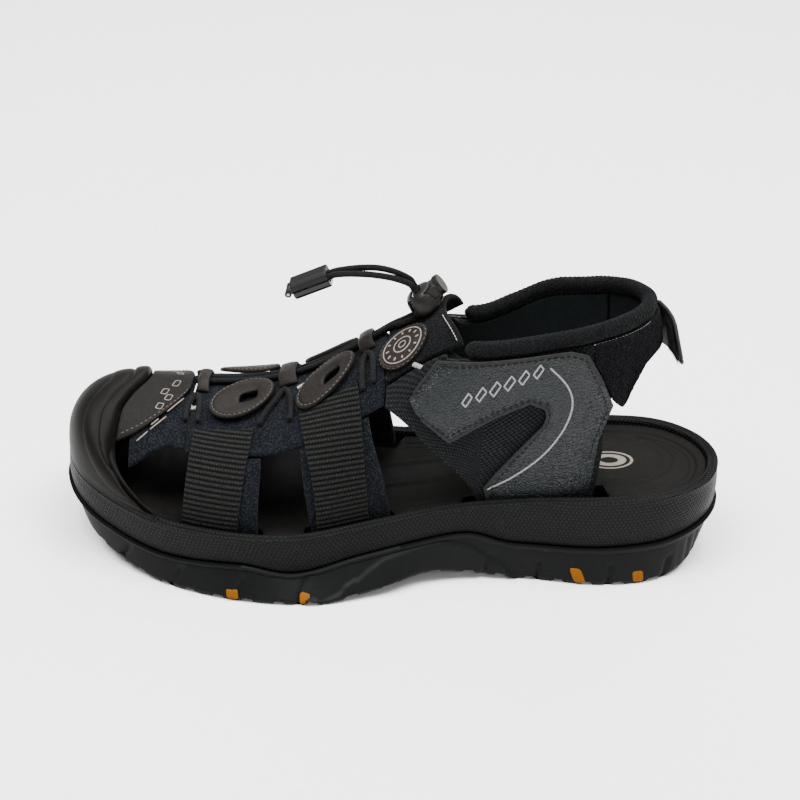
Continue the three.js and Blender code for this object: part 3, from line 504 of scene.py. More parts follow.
def stitchPiece(name, surface, a, b, off, pitch=2.5, length=1.7, radius=0.24, across=0.0, finish=None,
                body="sandal"):
    # one small arched capsule of thread for each stitch along a line on the surface
    line = lifted(surface, a, b, np.full(len(a), float(off)))
    above = lifted(surface, a, b, np.full(len(a), float(off) + 1)) - line
    run = np.concatenate([[0], np.cumsum(np.linalg.norm(np.diff(line, axis=0), axis=1))])
    count = max(1, int(run[-1] / pitch))
    at = (np.arange(count) + 0.5) * run[-1] / count
    middle = np.stack([np.interp(at, run, line[:, c]) for c in range(3)], 1)
    ahead = np.stack([np.interp(at + 0.3, run, line[:, c]) - np.interp(at - 0.3, run, line[:, c])
                      for c in range(3)], 1)
    normal = np.stack([np.interp(at, run, above[:, c]) for c in range(3)], 1)
    ahead /= np.linalg.norm(ahead, axis=1)[:, None]
    normal /= np.linalg.norm(normal, axis=1)[:, None]
    side = np.cross(normal, ahead)
    direction = ahead * math.cos(across) + side * math.sin(across)
    side = np.cross(normal, direction)
    stations = np.linspace(-1, 1, 7)
    thick = np.sqrt(np.maximum(0.02, 1 - np.abs(stations) ** 3))
    rise = radius * (0.7 - 1.3 * stations ** 4)
    angle = np.linspace(0, 2 * math.pi, 7)
    grids = []
    for m, t, n, s in zip(middle, direction, normal, side):
        ring = np.cos(angle)[None, :, None] * s + np.sin(angle)[None, :, None] * n
        spine = m + stations[:, None] * t * length / 2 + rise[:, None] * n
        grids.append(spine[:, None] + ring * (radius * thick)[:, None, None])
    piece = joinGrids(name, grids)
    return place(piece, finish or finishes["thread"], body)


# materials: every pattern is made of nodes, in metres over the object or in millimetres along the cloth

class Finish:
    def __init__(self, name, **shader):
        self.material = bpy.data.materials.new(name)
        self.material.use_nodes = True
        self.tree = self.material.node_tree
        self.shader = self.tree.nodes["Principled BSDF"]
        for key, value in shader.items():
            self.shader.inputs[shaderSockets[key]].default_value = value

    def add(self, kind, inputs=(), **settings):
        node = self.tree.nodes.new("ShaderNode" + kind)
        for key, value in settings.items():
            setattr(node, key, value)
        for key, value in dict(inputs).items():
            if isinstance(value, bpy.types.NodeSocket):
                self.tree.links.new(value, node.inputs[key])
            else:
                node.inputs[key].default_value = value
        return node

    def place(self):
        return self.add("TexCoord").outputs["Object"]

    def cloth(self):
        return self.add("UVMap", uv_map="clothMap").outputs["UV"]

    def noise(self, scale, detail=3.0, where=None, rough=0.55):
        where = where or self.place()
        return self.add("TexNoise", {"Vector": where, "Scale": scale, "Detail": detail,
                                     "Roughness": rough}).outputs["Fac"]

    def cells(self, scale, where=None, feature="F1", random=1.0):
        where = where or self.place()
        node = self.add("TexVoronoi", {"Vector": where, "Scale": scale, "Randomness": random},
                        feature=feature)
        return node.outputs["Distance"]

    def math(self, operation, a, b=0.0, c=0.0):
        return self.add("Math", {0: a, 1: b, 2: c}, operation=operation).outputs[0]

    def between(self, value, low, high, toLow=0.0, toHigh=1.0):
        inputs = {"Value": value, "From Min": low, "From Max": high, "To Min": toLow, "To Max": toHigh}
        return self.add("MapRange", inputs).outputs["Result"]

    def axis(self, vector, which):
        return self.add("SeparateXYZ", {0: vector}).outputs[which]

    def mix(self, share, dark, light):
        node = self.add("Mix", {0: share}, data_type="RGBA")
        for index, colour in ((6, dark), (7, light)):
            if isinstance(colour, bpy.types.NodeSocket):
                self.tree.links.new(colour, node.inputs[index])
            else:
                node.inputs[index].default_value = (*colour, 1)
        return node.outputs[2]

    def colour(self, socket):
        self.tree.links.new(socket, self.shader.inputs["Base Color"])

    def roughness(self, socket):
        self.tree.links.new(socket, self.shader.inputs["Roughness"])

    def bump(self, *layers):
        # each layer is a height from 0 to 1 and its depth in millimetres
        normal = None
        for height, depth in layers:
            node = self.add("Bump", {"Height": height, "Distance": depth * millimetre, "Strength": 1.0})
            if normal is not None:
                self.tree.links.new(normal, node.inputs["Normal"])
            normal = node.outputs["Normal"]
        self.tree.links.new(normal, self.shader.inputs["Normal"])


shaderSockets = {
    "rough": "Roughness", "metal": "Metallic", "specular": "Specular IOR Level", "sheen": "Sheen Weight",
    "sheenRough": "Sheen Roughness", "coat": "Coat Weight", "coatRough": "Coat Roughness"}


def mouldedFinish(name, dark, light, rough, grain=0.035, dots=False, specular=0.06):
    # moulded rubber and foam: fine pores, faint flow marks, and a lattice of small raised dots
    f = Finish(name, specular=specular)
    pores = f.noise(2600, 2)
    flow = f.noise(28, 4)
    scuff = f.between(f.noise(190, 6, rough=0.7), 0.56, 0.74)
    share = f.math("ADD", f.math("MULTIPLY", flow, 0.6), f.math("MULTIPLY", scuff, 0.35))
    f.roughness(f.between(flow, 0.3, 0.7, rough - 0.07, rough + 0.08))
    layers = [(pores, grain), (f.noise(420, 3), grain * 1.6)]
    if dots:
        pitch = 1.75
        lattice = f.add("VectorMath", {0: f.cloth(), 1: (pitch, pitch * 1.732, 1)},
                        operation="DIVIDE").outputs[0]
        near = []
        for offset in (0.0, 0.5):
            moved = f.add("VectorMath", {0: lattice, 1: (offset, offset, 0)}, operation="ADD").outputs[0]
            part = f.add("VectorMath", {0: moved}, operation="FRACTION").outputs[0]
            centred = f.add("VectorMath", {0: part, 1: (0.5, 0.5, 0)}, operation="SUBTRACT").outputs[0]
            sized = f.add("VectorMath", {0: centred, 1: (pitch, pitch * 1.732, 0)},
                          operation="MULTIPLY").outputs[0]
            near.append(f.add("VectorMath", {0: sized}, operation="LENGTH").outputs["Value"])
        dot = f.between(f.math("MINIMUM", *near), 0.72, 0.36)
        # painted highlight: the raised dots are made lighter in the colour as well as raised by the bump
        share = f.math("ADD", f.math("MULTIPLY", share, 0.7), f.math("MULTIPLY", dot, 0.6))
        layers.append((dot, 0.4))
    f.colour(f.mix(share, dark, light))
    f.bump(*layers)
    return f.material


def knitFinish(name, dark, light, pitch=0.95, depth=0.26, sheen=0.02, fuzz=0.5):
    # a looped, fuzzy knit: small cells with fibres that catch the light
    f = Finish(name, rough=0.95, specular=0.06, sheen=sheen, sheenRough=0.5)
    cell = f.cells(1000 / pitch)
    fibre = f.noise(3300, 4, rough=0.75)
    patch = f.noise(160, 3)
    spark = f.math("MULTIPLY", f.between(fibre, 0.52, 0.72), f.between(patch, 0.35, 0.65, 0.4, 1.0))
    share = f.math("ADD", f.math("MULTIPLY", spark, fuzz), f.between(cell, 0.55, 0.1, 0.0, 0.3))
    f.colour(f.mix(share, dark, light))
    f.bump((f.between(cell, 0.6, 0.05), depth), (fibre, 0.11))
    return f.material


def meshFinish(name):
    # air mesh: pale specks of yarn round dark holes, in rows
    f = Finish(name, rough=0.88, specular=0.08, sheen=0.04, sheenRough=0.4)
    cloth = f.cloth()
    row = f.math("MULTIPLY", f.axis(cloth, 0), 2 * math.pi / 2.5)
    column = f.math("MULTIPLY", f.axis(cloth, 1), 2 * math.pi / 2.0)
    holes = f.math("MULTIPLY", f.math("SINE", row), f.math("SINE", column))
    fibre = f.noise(2400, 4, rough=0.75)
    cell = f.cells(1250)
    speck = f.math("MULTIPLY", f.between(fibre, 0.5, 0.68), f.between(cell, 0.2, 0.6, 1.0, 0.2))
    yarn = f.between(holes, 0.3, -0.5)
    lit = f.math("MULTIPLY", speck, f.between(yarn, 0.0, 0.7, 0.12, 0.95))
    share = f.math("ADD", lit, f.math("MULTIPLY", yarn, 0.13))
    f.colour(f.mix(share, (0.0014, 0.0018, 0.0022), (0.044, 0.049, 0.053)))
    f.bump((yarn, 0.45), (fibre, 0.16))
    return f.material


weave = {"ribPitch": 2.2, "ribDepth": 0.6, "threadPitch": 1.24, "threadDepth": 0.2}


def webbingFinish(name):
    # nylon webbing: fine threads cross each modelled rib
    f = Finish(name, rough=0.78, specular=0.08, sheen=0.02, sheenRough=0.35)
    cloth = f.cloth()
    thread = f.math("ABSOLUTE", f.math("SINE", f.math("MULTIPLY", f.axis(cloth, 0), math.pi / 0.62)))
    fibre = f.noise(3000, 3, rough=0.7)
    across = f.math("MULTIPLY", f.axis(cloth, 1), math.pi / weave["ribPitch"])
    rib = f.math("ABSOLUTE", f.math("SINE", across))
    # painted shade and highlight: the colour goes dark in the valleys between ribs and lighter on the rib
    # crests, with painted glints on the fibres there
    painted_rib_shading = f.between(rib, 0.45, 0.95)
    spark = f.math("MULTIPLY", f.between(fibre, 0.46, 0.66), f.between(thread, 0.3, 0.95))
    share = f.math("MULTIPLY", painted_rib_shading, f.math("ADD", f.math("MULTIPLY", spark, 0.85), 0.10))
    f.colour(f.mix(share, (0.0010, 0.0012, 0.0012), (0.038, 0.041, 0.035)))
    f.bump((thread, 0.12), (fibre, 0.06))
    return f.material


def leatherFinish(name, dark, light, rough, grain=1.3, depth=0.17, specular=0.22, spread=0.08):
    # pebbled synthetic leather; the pebbles' high spots are lightened in patches as a painted highlight
    f = Finish(name, specular=specular)
    cell = f.cells(1000 / grain, feature="DISTANCE_TO_EDGE")
    pebble = f.between(cell, 0.0, 0.22)
    cloud = f.noise(60, 4)
    fine = f.noise(2800, 2)
    f.roughness(f.between(cloud, 0.3, 0.7, rough - spread, rough + spread))
    # painted highlight: lighter colour on the pebble crests, with the creases between them left dark
    wear_and_painted_highlight = f.math("MULTIPLY", pebble, f.between(f.noise(420, 4, rough=0.7), 0.45, 0.7, 0.15, 0.75))
    share = f.math("ADD", f.math("MULTIPLY", cloud, 0.45), f.math("MULTIPLY", fine, 0.1))
    f.colour(f.mix(f.math("ADD", share, wear_and_painted_highlight), dark, light))
    f.bump((pebble, depth), (fine, 0.02), (f.noise(330, 3), 0.06))
    return f.material


def cordFinish(name, dark, light):
    # braided elastic: the braid's relief is modelled; fibres and painted highlights on the strand crests
    # are here
    f = Finish(name, rough=0.74, specular=0.09, sheen=0.02, sheenRough=0.3)
    cloth = f.cloth()
    turn = f.math("MULTIPLY", f.axis(cloth, 0), 2 * math.pi / 0.53)
    run = f.math("MULTIPLY", f.axis(cloth, 1), 2 * math.pi / 0.8)
    strand = f.math("ABSOLUTE", f.math("SINE", f.math("ADD", turn, run)))
    fibre = f.noise(3600, 3)
    # painted highlight: fibre glints on the strand crests, with the grooves between strands left dark
    f.colour(f.mix(f.math("MULTIPLY", f.between(fibre, 0.45, 0.7), strand), dark, light))
    f.bump((strand, 0.06), (fibre, 0.03))
    return f.material


def plasticFinish(name, dark, light, rough, depth=0.02, coat=0.0):
    f = Finish(name, specular=0.14, coat=coat, coatRough=0.12)
    cloud = f.noise(90, 3)
    scratch = f.between(f.noise(900, 5, rough=0.8), 0.6, 0.78)
    f.roughness(f.math("ADD", f.between(cloud, 0.3, 0.7, rough - 0.04, rough + 0.05),
                       f.math("MULTIPLY", scratch, 0.12)))
    f.colour(f.mix(f.math("ADD", f.math("MULTIPLY", cloud, 0.6), f.math("MULTIPLY", scratch, 0.4)), dark,
                   light))
    f.bump((f.noise(2300, 2), depth))
    return f.material


def boardFinish(name):
    # stitched insole board: pressed fibres
    f = Finish(name, rough=0.93, specular=0.1)
    fibre = f.noise(700, 5, rough=0.7)
    f.colour(f.mix(f.between(fibre, 0.35, 0.7), (0.02, 0.018, 0.016), (0.07, 0.06, 0.05)))
    f.bump((fibre, 0.15))
    return f.material


def printFinish(name, colour, rough=0.55):
    # thin printed or painted film, slightly worn
    f = Finish(name, specular=0.4)
    wear_and_painted_highlight = f.between(f.noise(1500, 5, rough=0.75), 0.35, 0.62)
    darker = [c * 0.55 for c in colour]
    f.colour(f.mix(wear_and_painted_highlight, darker, colour))
    f.roughness(f.between(wear_and_painted_highlight, 0, 1, rough + 0.2, rough))
    f.bump((wear_and_painted_highlight, 0.03))
    return f.material


def steelFinish(name):
    f = Finish(name, metal=1.0)
    drawn = f.noise(1400, 3)
    f.colour(f.mix(drawn, (0.16, 0.16, 0.17), (0.34, 0.34, 0.35)))
    f.roughness(f.between(drawn, 0.3, 0.7, 0.22, 0.42))
    f.bump((drawn, 0.01))
    return f.material


finishes = {
    "outsole": mouldedFinish("outsoleRubber", (0.0018, 0.0020, 0.0020), (0.0070, 0.0074, 0.0073), 0.52),
    "midsole": mouldedFinish("midsoleFoam", (0.0014, 0.0016, 0.0016), (0.0090, 0.0094, 0.0091), 0.50,
                             dots=True),
    "footbed": mouldedFinish("footbedFoam", (0.0017, 0.0016, 0.0015), (0.0072, 0.0067, 0.0058), 0.64,
                             grain=0.05),
    "bumper": mouldedFinish("bumperRubber", (0.0020, 0.0019, 0.0015), (0.0078, 0.0071, 0.0058), 0.55,
                            grain=0.03),
    "insert": mouldedFinish("insertRubber", (0.105, 0.034, 0.0008), (0.20, 0.070, 0.0014), 0.5, grain=0.03),
    "fleece": knitFinish("liningKnit", (0.0014, 0.0018, 0.0028), (0.030, 0.036, 0.045)),
    "collar": knitFinish("collarKnit", (0.0016, 0.0017, 0.0019), (0.020, 0.021, 0.023), pitch=0.8,
                         depth=0.2, fuzz=0.5),
    "loop": knitFinish("loopPile", (0.0010, 0.0010, 0.0018), (0.015, 0.015, 0.020), pitch=0.6, depth=0.4,
                       fuzz=0.7),
    "lining": knitFinish("smoothLining", (0.0055, 0.0072, 0.0072), (0.020, 0.025, 0.025), pitch=0.5,
                         depth=0.05, fuzz=0.25),
    "mesh": meshFinish("airMesh"),
    "webbing": webbingFinish("ribbedWebbing"),
    "leather": leatherFinish("bluishLeather", (0.0010, 0.0017, 0.0021), (0.0068, 0.0098, 0.0110), 0.30),
    "fold": leatherFinish("foldedLeather", (0.005, 0.005, 0.005), (0.016, 0.0155, 0.015), 0.46, grain=0.6,
                          depth=0.05, specular=0.12),
    "suede": leatherFinish("brownLeather", (0.0040, 0.0033, 0.0029), (0.0150, 0.0125, 0.0110), 0.48,
                           grain=0.8, depth=0.06, specular=0.09),
    "vamp": leatherFinish("vampLeather", (0.0026, 0.0022, 0.0018), (0.0092, 0.0080, 0.0066), 0.50,
                          grain=0.8, depth=0.06, specular=0.08),
    "strapTop": leatherFinish("strapLeather", (0.006, 0.006, 0.0064), (0.020, 0.0193, 0.0193), 0.5,
                              grain=0.8, specular=0.10),
    "cord": cordFinish("elasticCord", (0.0014, 0.0014, 0.0017), (0.019, 0.019, 0.0205)),
    "thread": cordFinish("blackThread", (0.0035, 0.0035, 0.0040), (0.024, 0.024, 0.025)),
    "paleThread": printFinish("paleThread", (0.34, 0.34, 0.33), 0.7),
    "brownThread": printFinish("brownThread", (0.072, 0.060, 0.052), 0.7),
    "print": printFinish("greyPrint", (0.21, 0.22, 0.22)),
    "brownPrint": printFinish("brownPrint", (0.175, 0.145, 0.125)),
    "plastic": plasticFinish("mattPlastic", (0.0048, 0.0040, 0.0036), (0.0145, 0.0122, 0.0110), 0.40),
    "clipTop": plasticFinish("clipPlastic", (0.0028, 0.0028, 0.0031), (0.0075, 0.0075, 0.0082), 0.46),
    "gloss": plasticFinish("glossPlastic", (0.0020, 0.0024, 0.0030), (0.0045, 0.0055, 0.0066), 0.16,
                           depth=0.004, coat=0.18),
    "hooks": knitFinish("hookTape", (0.0022, 0.0022, 0.0025), (0.032, 0.032, 0.032), pitch=1.1, depth=0.4,
                        fuzz=0.8),
    "board": boardFinish("insoleBoard"),
    "steel": steelFinish("springSteel"),
}
print("materials made")


# the camera comes first, then the cords

studioCamera = {
    "azimuth": 1.1, "elevation": 30.5, "distance": 700, "lens": 74.2, "roll": 1.6, "target": (1.9, 0, 63.8)}


def makeCamera():
    azimuth, elevation, roll = [math.radians(studioCamera[k]) for k in ("azimuth", "elevation", "roll")]
    back = np.array([math.sin(azimuth) * math.cos(elevation), -math.cos(azimuth) * math.cos(elevation),
                     math.sin(elevation)])
    right = np.array([math.cos(azimuth), math.sin(azimuth), 0])
    up = np.cross(back, right)
    rolledRight = right * math.cos(roll) + up * math.sin(roll)
    rolledUp = up * math.cos(roll) - right * math.sin(roll)
    data = bpy.data.cameras.new("studioCamera")
    data.lens = studioCamera["lens"]
    data.sensor_width = 36
    data.clip_start = 0.01
    camera = bpy.data.objects.new("studioCamera", data)
    bpy.context.scene.collection.objects.link(camera)
    spot = toFrame(np.array(studioCamera["target"]) + back * studioCamera["distance"])
    matrix = np.eye(4)
    matrix[:3, 0], matrix[:3, 1], matrix[:3, 2], matrix[:3, 3] = rolledRight, rolledUp, back, spot
    camera.matrix_world = Matrix(matrix.tolist())
    bpy.context.scene.camera = camera


makeCamera()

cords = {
    "diameter": 2.7, "keeperDiameter": 2.4, "braidPitch": 1.15, "braidDepth": 0.11,
    "tailLine": [(5.0, 0.4, 119.4), (-0.8, -0.6, 122.6), (-8, -2, 124.8), (-16, -3.6, 125.7)],
    "tailStack": (0.2, 0.6, 0.8, 0.5),      # how far the two tails lie over each other at those points
}


def braid(angle, run):
    turns = 2 * math.pi * run / cords["braidPitch"]
    return cords["braidDepth"] * np.abs(np.sin(turns / 2 + angle)) * np.abs(np.sin(turns / 2 - angle)) * 2 \
        - cords["braidDepth"]


def tailRoute(side):
    spread, stack = lock["cordSpread"], cords["tailStack"]
    y = side * spread
    middle = [(x, lineY + y * (1 - 0.35 * share), z + side * share * 1.35)
              for (x, lineY, z), share in zip(cords["tailLine"], stack)]
    return [fromLock(0, y, 5.3), fromLock(0, y, 8), fromLock(0, y, 11.5), *middle,
            *[fromClip(clip["body"] + ahead, y, 0) for ahead in (2.5, 0, -3)]]


def makeTails():
    for index, side in enumerate((-1, 1), 1):
        route = tailRoute(side)
        path = cordPath(route, 0.3)
        tail = tubePiece(f"lace_tail_{index}_cord", path, cords["diameter"] / 2, 20, braid)
        place(tail, finishes["cord"], replaces=[f"lace_tail_{index}"])
        few = cordPath(route, 2.0)
        print("tail", index, "length in millimetres", round(pathLength(few), 2))
        toFrame(route[0]).tolist()
        [toFrame(p).tolist() for p in few]


makeTails()
print("tails made")


# the sole

soleLook = {
    "points": 720,
    "lateralGrooves": [-113, -90, -63.5, -38, 40, 62, 92, 116],     # x of the grooves between the side lugs
    "medialGrooves": [-110, -86, -60, -34, 38, 62, 90, 116],
    "grooveWidth": 1.1, "grooveDepth": 1.3, "grooveTop": 11, "grooveSlant": 0.45,
    "heelRibsFrom": 121, "heelRibPitch": 3.4, "heelRibDepth": 0.7,
    "lipOut": 0.9,
    "treadDepth": 2.6, "barPitch": 13, "barGap": 0.17, "chevron": 0.55,
    "shelfOut": 1.1,            # the outsole's raised panel that climbs at the waist
    "shelf": [(-40, 0.0), (-20, 0.35), (0, 0.86), (18, 0.9), (34, 0.72), (46, 0.4), (56, 0.0)],
}


def bellAt(distance, width):
    return np.exp(-(distance / width) ** 2)


def treadCut(x, y):
    # how far the underside is raised between its lugs
    middle = smoothCurve([(-141, 3), (-90, 0), (-36, -4), (24, -4), (139, 0)], x)
    reach = np.abs(y - middle)
    phase = (x + soleLook["chevron"] * reach) / soleLook["barPitch"]
    bar = np.abs(phase - np.round(phase))
    between = np.clip((soleLook["barGap"] - bar) / 0.05 + 0.5, 0, 1)
    half = smoothCurve([(-141, 12), (-64, 21), (0, 15), (60, 13), (139, 8)], x)
    channel = np.clip((1.3 - np.abs(reach - half)) / 0.8 + 0.5, 0, 1)
    waist = 1 - 0.75 * bellAt(x - 12, 22)
    return soleLook["treadDepth"] * np.maximum(between, channel) * waist


def sideRelief(x, y, height, share):
    # lugs, heel ribs, the lip at the parting line and the panel at the waist
    out = np.zeros_like(x)
    slanted = soleLook["grooveSlant"] * height
    fade = np.clip((soleLook["grooveTop"] - height) / 3, 0, 1)
    for medial, places in ((False, soleLook["lateralGrooves"]), (True, soleLook["medialGrooves"])):
        for spot in places:
            near = bellAt(x - spot - slanted * (1 if spot < 0 else 0.4), soleLook["grooveWidth"])
            out -= soleLook["grooveDepth"] * near * fade * ((y > 0) == medial)
    ribs = np.clip((x - soleLook["heelRibsFrom"]) / 3, 0, 1)
    wave = 0.5 - 0.5 * np.cos(2 * math.pi * y / soleLook["heelRibPitch"])
    out -= soleLook["heelRibDepth"] * ribs * wave ** 2 * np.clip((0.82 - share) / 0.08, 0, 1)
    lip = np.clip(1 - np.abs(1 - share) * 9, 0, 1)
    out += soleLook["lipOut"] * np.sqrt(np.maximum(0, 1 - (1 - lip) ** 2)) * (lip > 0)
    shelf = smoothCurve(soleLook["shelf"], x)
    out += soleLook["shelfOut"] * np.clip((shelf - share) / 0.09, 0, 1) * (shelf > 0.02)
    return out


def makeOutsole():
    outline = sampleOutline(soleLook["points"])
    x, y = outline[:, 0], outline[:, 1]
    tread, parting = treadAt(x), partingAt(x)
    flare = flareAt(x, y)
    underEdge = outlineRing(outline, flare - 0.8, 0)
    cut = treadCut(underEdge[:, 0], underEdge[:, 1]) * 0.75
    rings = []
    for share in np.concatenate([[0, 0.03, 0.08], np.linspace(0.13, 0.88, 26), np.linspace(0.9, 1, 6)]):
        bottom = tread + cut
        z = lerp(bottom, parting, share)
        height = z - tread
        full = np.clip(height / 2, 0, 1)
        taper = np.clip((height - 2) / np.maximum(parting - tread - 2, 1), 0, 1)
        grow = np.where(height < 2, flare - 0.8 * (1 - full) ** 2, lerp(flare, 0.6, taper))
        rings.append(outlineRing(outline, grow + sideRelief(x, y, height, share) * (share > 0), z))
    rings.append(outlineRing(outline, -2.5, parting + 0.1))
    underside = ladderGrid(rings[0], 96)
    edgeDistance = np.minimum(np.linspace(0, 1, 97), 1 - np.linspace(0, 1, 97))[None, :]
    width = np.linalg.norm(underside[:, -1] - underside[:, 0], axis=1)[:, None]
    blend = np.clip(edgeDistance * width / 2.5, 0, 1)
    deep = treadAt(underside[..., 0]) + treadCut(underside[..., 0], underside[..., 1])
    underside[..., 2] = lerp(underside[..., 2], deep, blend)
    top = ladderGrid(rings[-1], 4)
    place(ringsPiece("outsole_rubber", rings, underside, top, sharp=65), finishes["outsole"],
          replaces=["outsole"])


midsoleLook = {"grooveDepth": 1.0, "bulge": 0.5, "rimRound": 1.1, "beadOut": 0.35}


def makeMidsole():
    outline = sampleOutline(soleLook["points"])
    x = outline[:, 0]
    parting, rim = partingAt(x) + gap, rimTop(x)
    rings = [outlineRing(outline, -2.6, parting)]
    for share in np.concatenate([[0, 0.03, 0.07, 0.12], np.linspace(0.18, 0.9, 14)]):
        bulge = midsoleLook["bulge"] * math.sin(math.pi * share)
        groove = midsoleLook["grooveDepth"] * max(0, 1 - share / 0.1) ** 2
        height = lerp(parting, rim - midsoleLook["rimRound"], share * 0.96)
        rings.append(outlineRing(outline, bulge - groove, height))
    radius = midsoleLook["rimRound"]
    for turn in np.linspace(0, math.pi / 2, 6):
        out = radius * (math.cos(turn) - 1) + midsoleLook["beadOut"] * math.sin(2 * turn)
        rings.append(outlineRing(outline, out, rim + radius * (math.sin(turn) - 1)))
    width = sole["rimWidth"]
    for inset, drop in ((1.7, 0.15), (2.1, 0.55), (2.6, 0.6), (3.1, 0.15), (width - 0.5, 0.1),
                        (width - 0.1, 0.5), (width, 1.2), (width, 5),
                        (width, sole["sockDepth"] + 1.5)):
        rings.append(outlineRing(outline, -inset, rim - drop))
    bottom = ladderGrid(rings[0], 4)
    top = ladderGrid(rings[-1], 4)
    place(ringsPiece("midsole_foam", rings, bottom, top, sharp=70), finishes["midsole"],
          replaces=["midsole"])


footbedLook = {
    "slots": [(-89, -52), (-34, 4), (30, 91)], "slotInset": 11.6, "heelward": 5,
    "cup": 2.2, "heelRing": (95, 5, 25, 19), "archRidges": [(-22, 3.6), (-7, 3.2), (9, 3.2)],
    "ridgeHeight": 0.9,
}


def footbedInset(x):
    slot = np.zeros_like(x)
    for start, stop in footbedLook["slots"]:
        slot = np.maximum(slot, np.clip(np.minimum(x - start, stop - x) / 2.5 + 0.5, 0, 1))
    heelward = footbedLook["heelward"] * np.clip((x - 50) / 25, 0, 1)
    return lerp(sole["rimWidth"] + gap, footbedLook["slotInset"] + heelward, slot)


def footbedTop(x, y, inset):
    # inset is the distance from the rim's outer edge
    z = rimTop(x) - 2.1 - footbedLook["cup"] * np.clip((inset - 5) / 9, 0, 1) ** 0.8
    z -= 1.4 * bellAt(x - 97, 30) * np.clip((inset - 8) / 16, 0, 1)
    z -= 0.55 * bellAt(inset - 9.5, 0.8) + 0.3 * bellAt(inset - 12, 0.5)
    for across, width in footbedLook["archRidges"]:
        line = across + 0.08 * (x - 10)
        length = np.clip((36 - np.abs(x - 2)) / 6, 0, 1)
        z += footbedLook["ridgeHeight"] * np.clip(1 - ((y - line) / width) ** 2, 0, 1) * length
    toes = np.clip((-58 - x) / 5, 0, 1) * np.clip((inset - 16) / 4, 0, 1)
    z += 0.12 * toes * np.sin(2 * math.pi * (x + 0.01 * (y - 3) ** 2) / 6.5)
    cx, cy, rx, ry = footbedLook["heelRing"]
    around = np.hypot((x - cx) / rx, (y - cy) / ry)
    z -= 0.45 * bellAt(around - 1, 0.035) + 0.35 * bellAt(around - 0.84, 0.03)
    dotted = 0.5 + 0.5 * np.cos(64 * np.arctan2((y - cy) / ry, (x - cx) / rx))
    return z - 0.3 * bellAt(around - 0.92, 0.02) * dotted


def makeFootbed():
    outline = sampleOutline(soleLook["points"])
    x = outline[:, 0]
    inset = footbedInset(x)
    board = rimTop(x) - sole["sockDepth"]
    rings = [outlineRing(outline, -inset, board + gap)]
    for drop in (5.0, 3.2, 2.6):
        rings.append(outlineRing(outline, -inset, rimTop(x) - drop))
    edge = outlineRing(outline, -inset - 0.5, 0)
    edge[:, 2] = footbedTop(edge[:, 0], edge[:, 1], inset + 0.5)
    rings.append(edge)
    top = ladderGrid(edge, 170)
    flat = top[..., :2].reshape(-1, 2)
    # distance to the rim, a block of points at a time to spare memory
    nearest = np.concatenate([np.sqrt(((block[:, None] - outline[None, ::2]) ** 2).sum(-1)).min(1)
                              for block in np.array_split(flat, 60)])
    nearest = nearest.reshape(top.shape[:2])
    rungs = np.arange(top.shape[0])
    nearest[:, 0] = inset[rungs] + 0.5
    nearest[:, -1] = inset[-rungs % len(outline)] + 0.5
    inner = footbedTop(top[..., 0], top[..., 1], nearest)
    inner[:, 0], inner[:, -1] = top[:, 0, 2], top[:, -1, 2]
    top[..., 2] = inner
    place(ringsPiece("footbed_foam", rings, ladderGrid(rings[0], 4), top, sharp=70), finishes["footbed"],
          replaces=["footbed"])
    # two plain oval rings in the middle of the heel's ring
    cx, cy = footbedLook["heelRing"][:2]
    grids = []
    for rx, ry, hollow in ((10.5, 7.0, 0.86), (7.6, 4.8, 0.5)):
        grids.append(emblemGrid(cx - 1.5, cy, rx, ry, hollow))
    place(joinGrids("footbed_emblem", grids), finishes["brownPrint"])


def emblemGrid(x0, y0, rx, ry, hollow):
    steps = [hollow, hollow + 0.01, hollow + 0.03, 0.97, 0.99, 1.0]
    reach, angle = np.meshgrid(steps, np.linspace(0, 2 * math.pi, 49), indexing="ij")
    x = x0 + rx * reach * np.cos(angle)
    y = y0 + ry * reach * np.sin(angle)
    lift = np.array([-0.2, 0.1, 0.2, 0.2, 0.1, -0.2])[:, None]
    return np.stack([x, y, footbedTop(x, y, np.full_like(x, 26.0)) + lift], -1)


insertLook = {"places": [-64, -33.5, 79.5, 105], "size": (5.0, 7.0), "heights": [3.6, 3.4, 6.4, 5.2],
              "slant": [0.2, 0.1, 0.42, 0.12], "proud": 0.35}


def makeInserts():
    # plugs with rounded corners, slanting with the lugs, just proud of the rubber
    for medial, sideName in ((False, "lateral"), (True, "medial")):
        side = 1 if medial else -1
        for index, x in enumerate(insertLook["places"]):
            edge = sideEdge(x, medial) + side * foot["baseInset"]
            tall, wide = insertLook["heights"][index], insertLook["size"][0]
            angle = np.linspace(0, 2 * math.pi, 33)
            rings = []
            proud = insertLook["proud"]
            for depth, size in ((-5, 0.9), (proud - 0.5, 1.0), (proud - 0.1, 0.95), (proud, 0.8),
                                (proud, 0.02)):
                power = 0.45
                px = wide / 2 * size * np.sign(np.cos(angle)) * np.abs(np.cos(angle)) ** power
                pz = tall / 2 * size * np.sign(np.sin(angle)) * np.abs(np.sin(angle)) ** power
                z = 1.1 + tall / 2 + pz
                local = x + px - insertLook["slant"][index] * pz
                height = z - treadAt(x)
                taper = np.clip((height - 2) / max(partingAt(x) - treadAt(x) - 2, 1), 0, 1)
                out = lerp(flareAt(x, side), 0.6, taper)
                slope = (sideEdge(local, medial) - sideEdge(x, medial))
                rings.append(np.stack([local, edge + slope + side * (out + depth), z], 1))
            name = f"tread_insert_{sideName}_{index + 1}"
            place(joinGrids(name + "_plug", [np.stack(rings)], weld=0.02), finishes["insert"],
                  replaces=[name])


makeOutsole()
makeMidsole()
makeFootbed()
makeInserts()
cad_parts["insole_board"].data.materials.clear()
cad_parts["insole_board"].data.materials.append(finishes["board"])
print("sole made")


# the toe

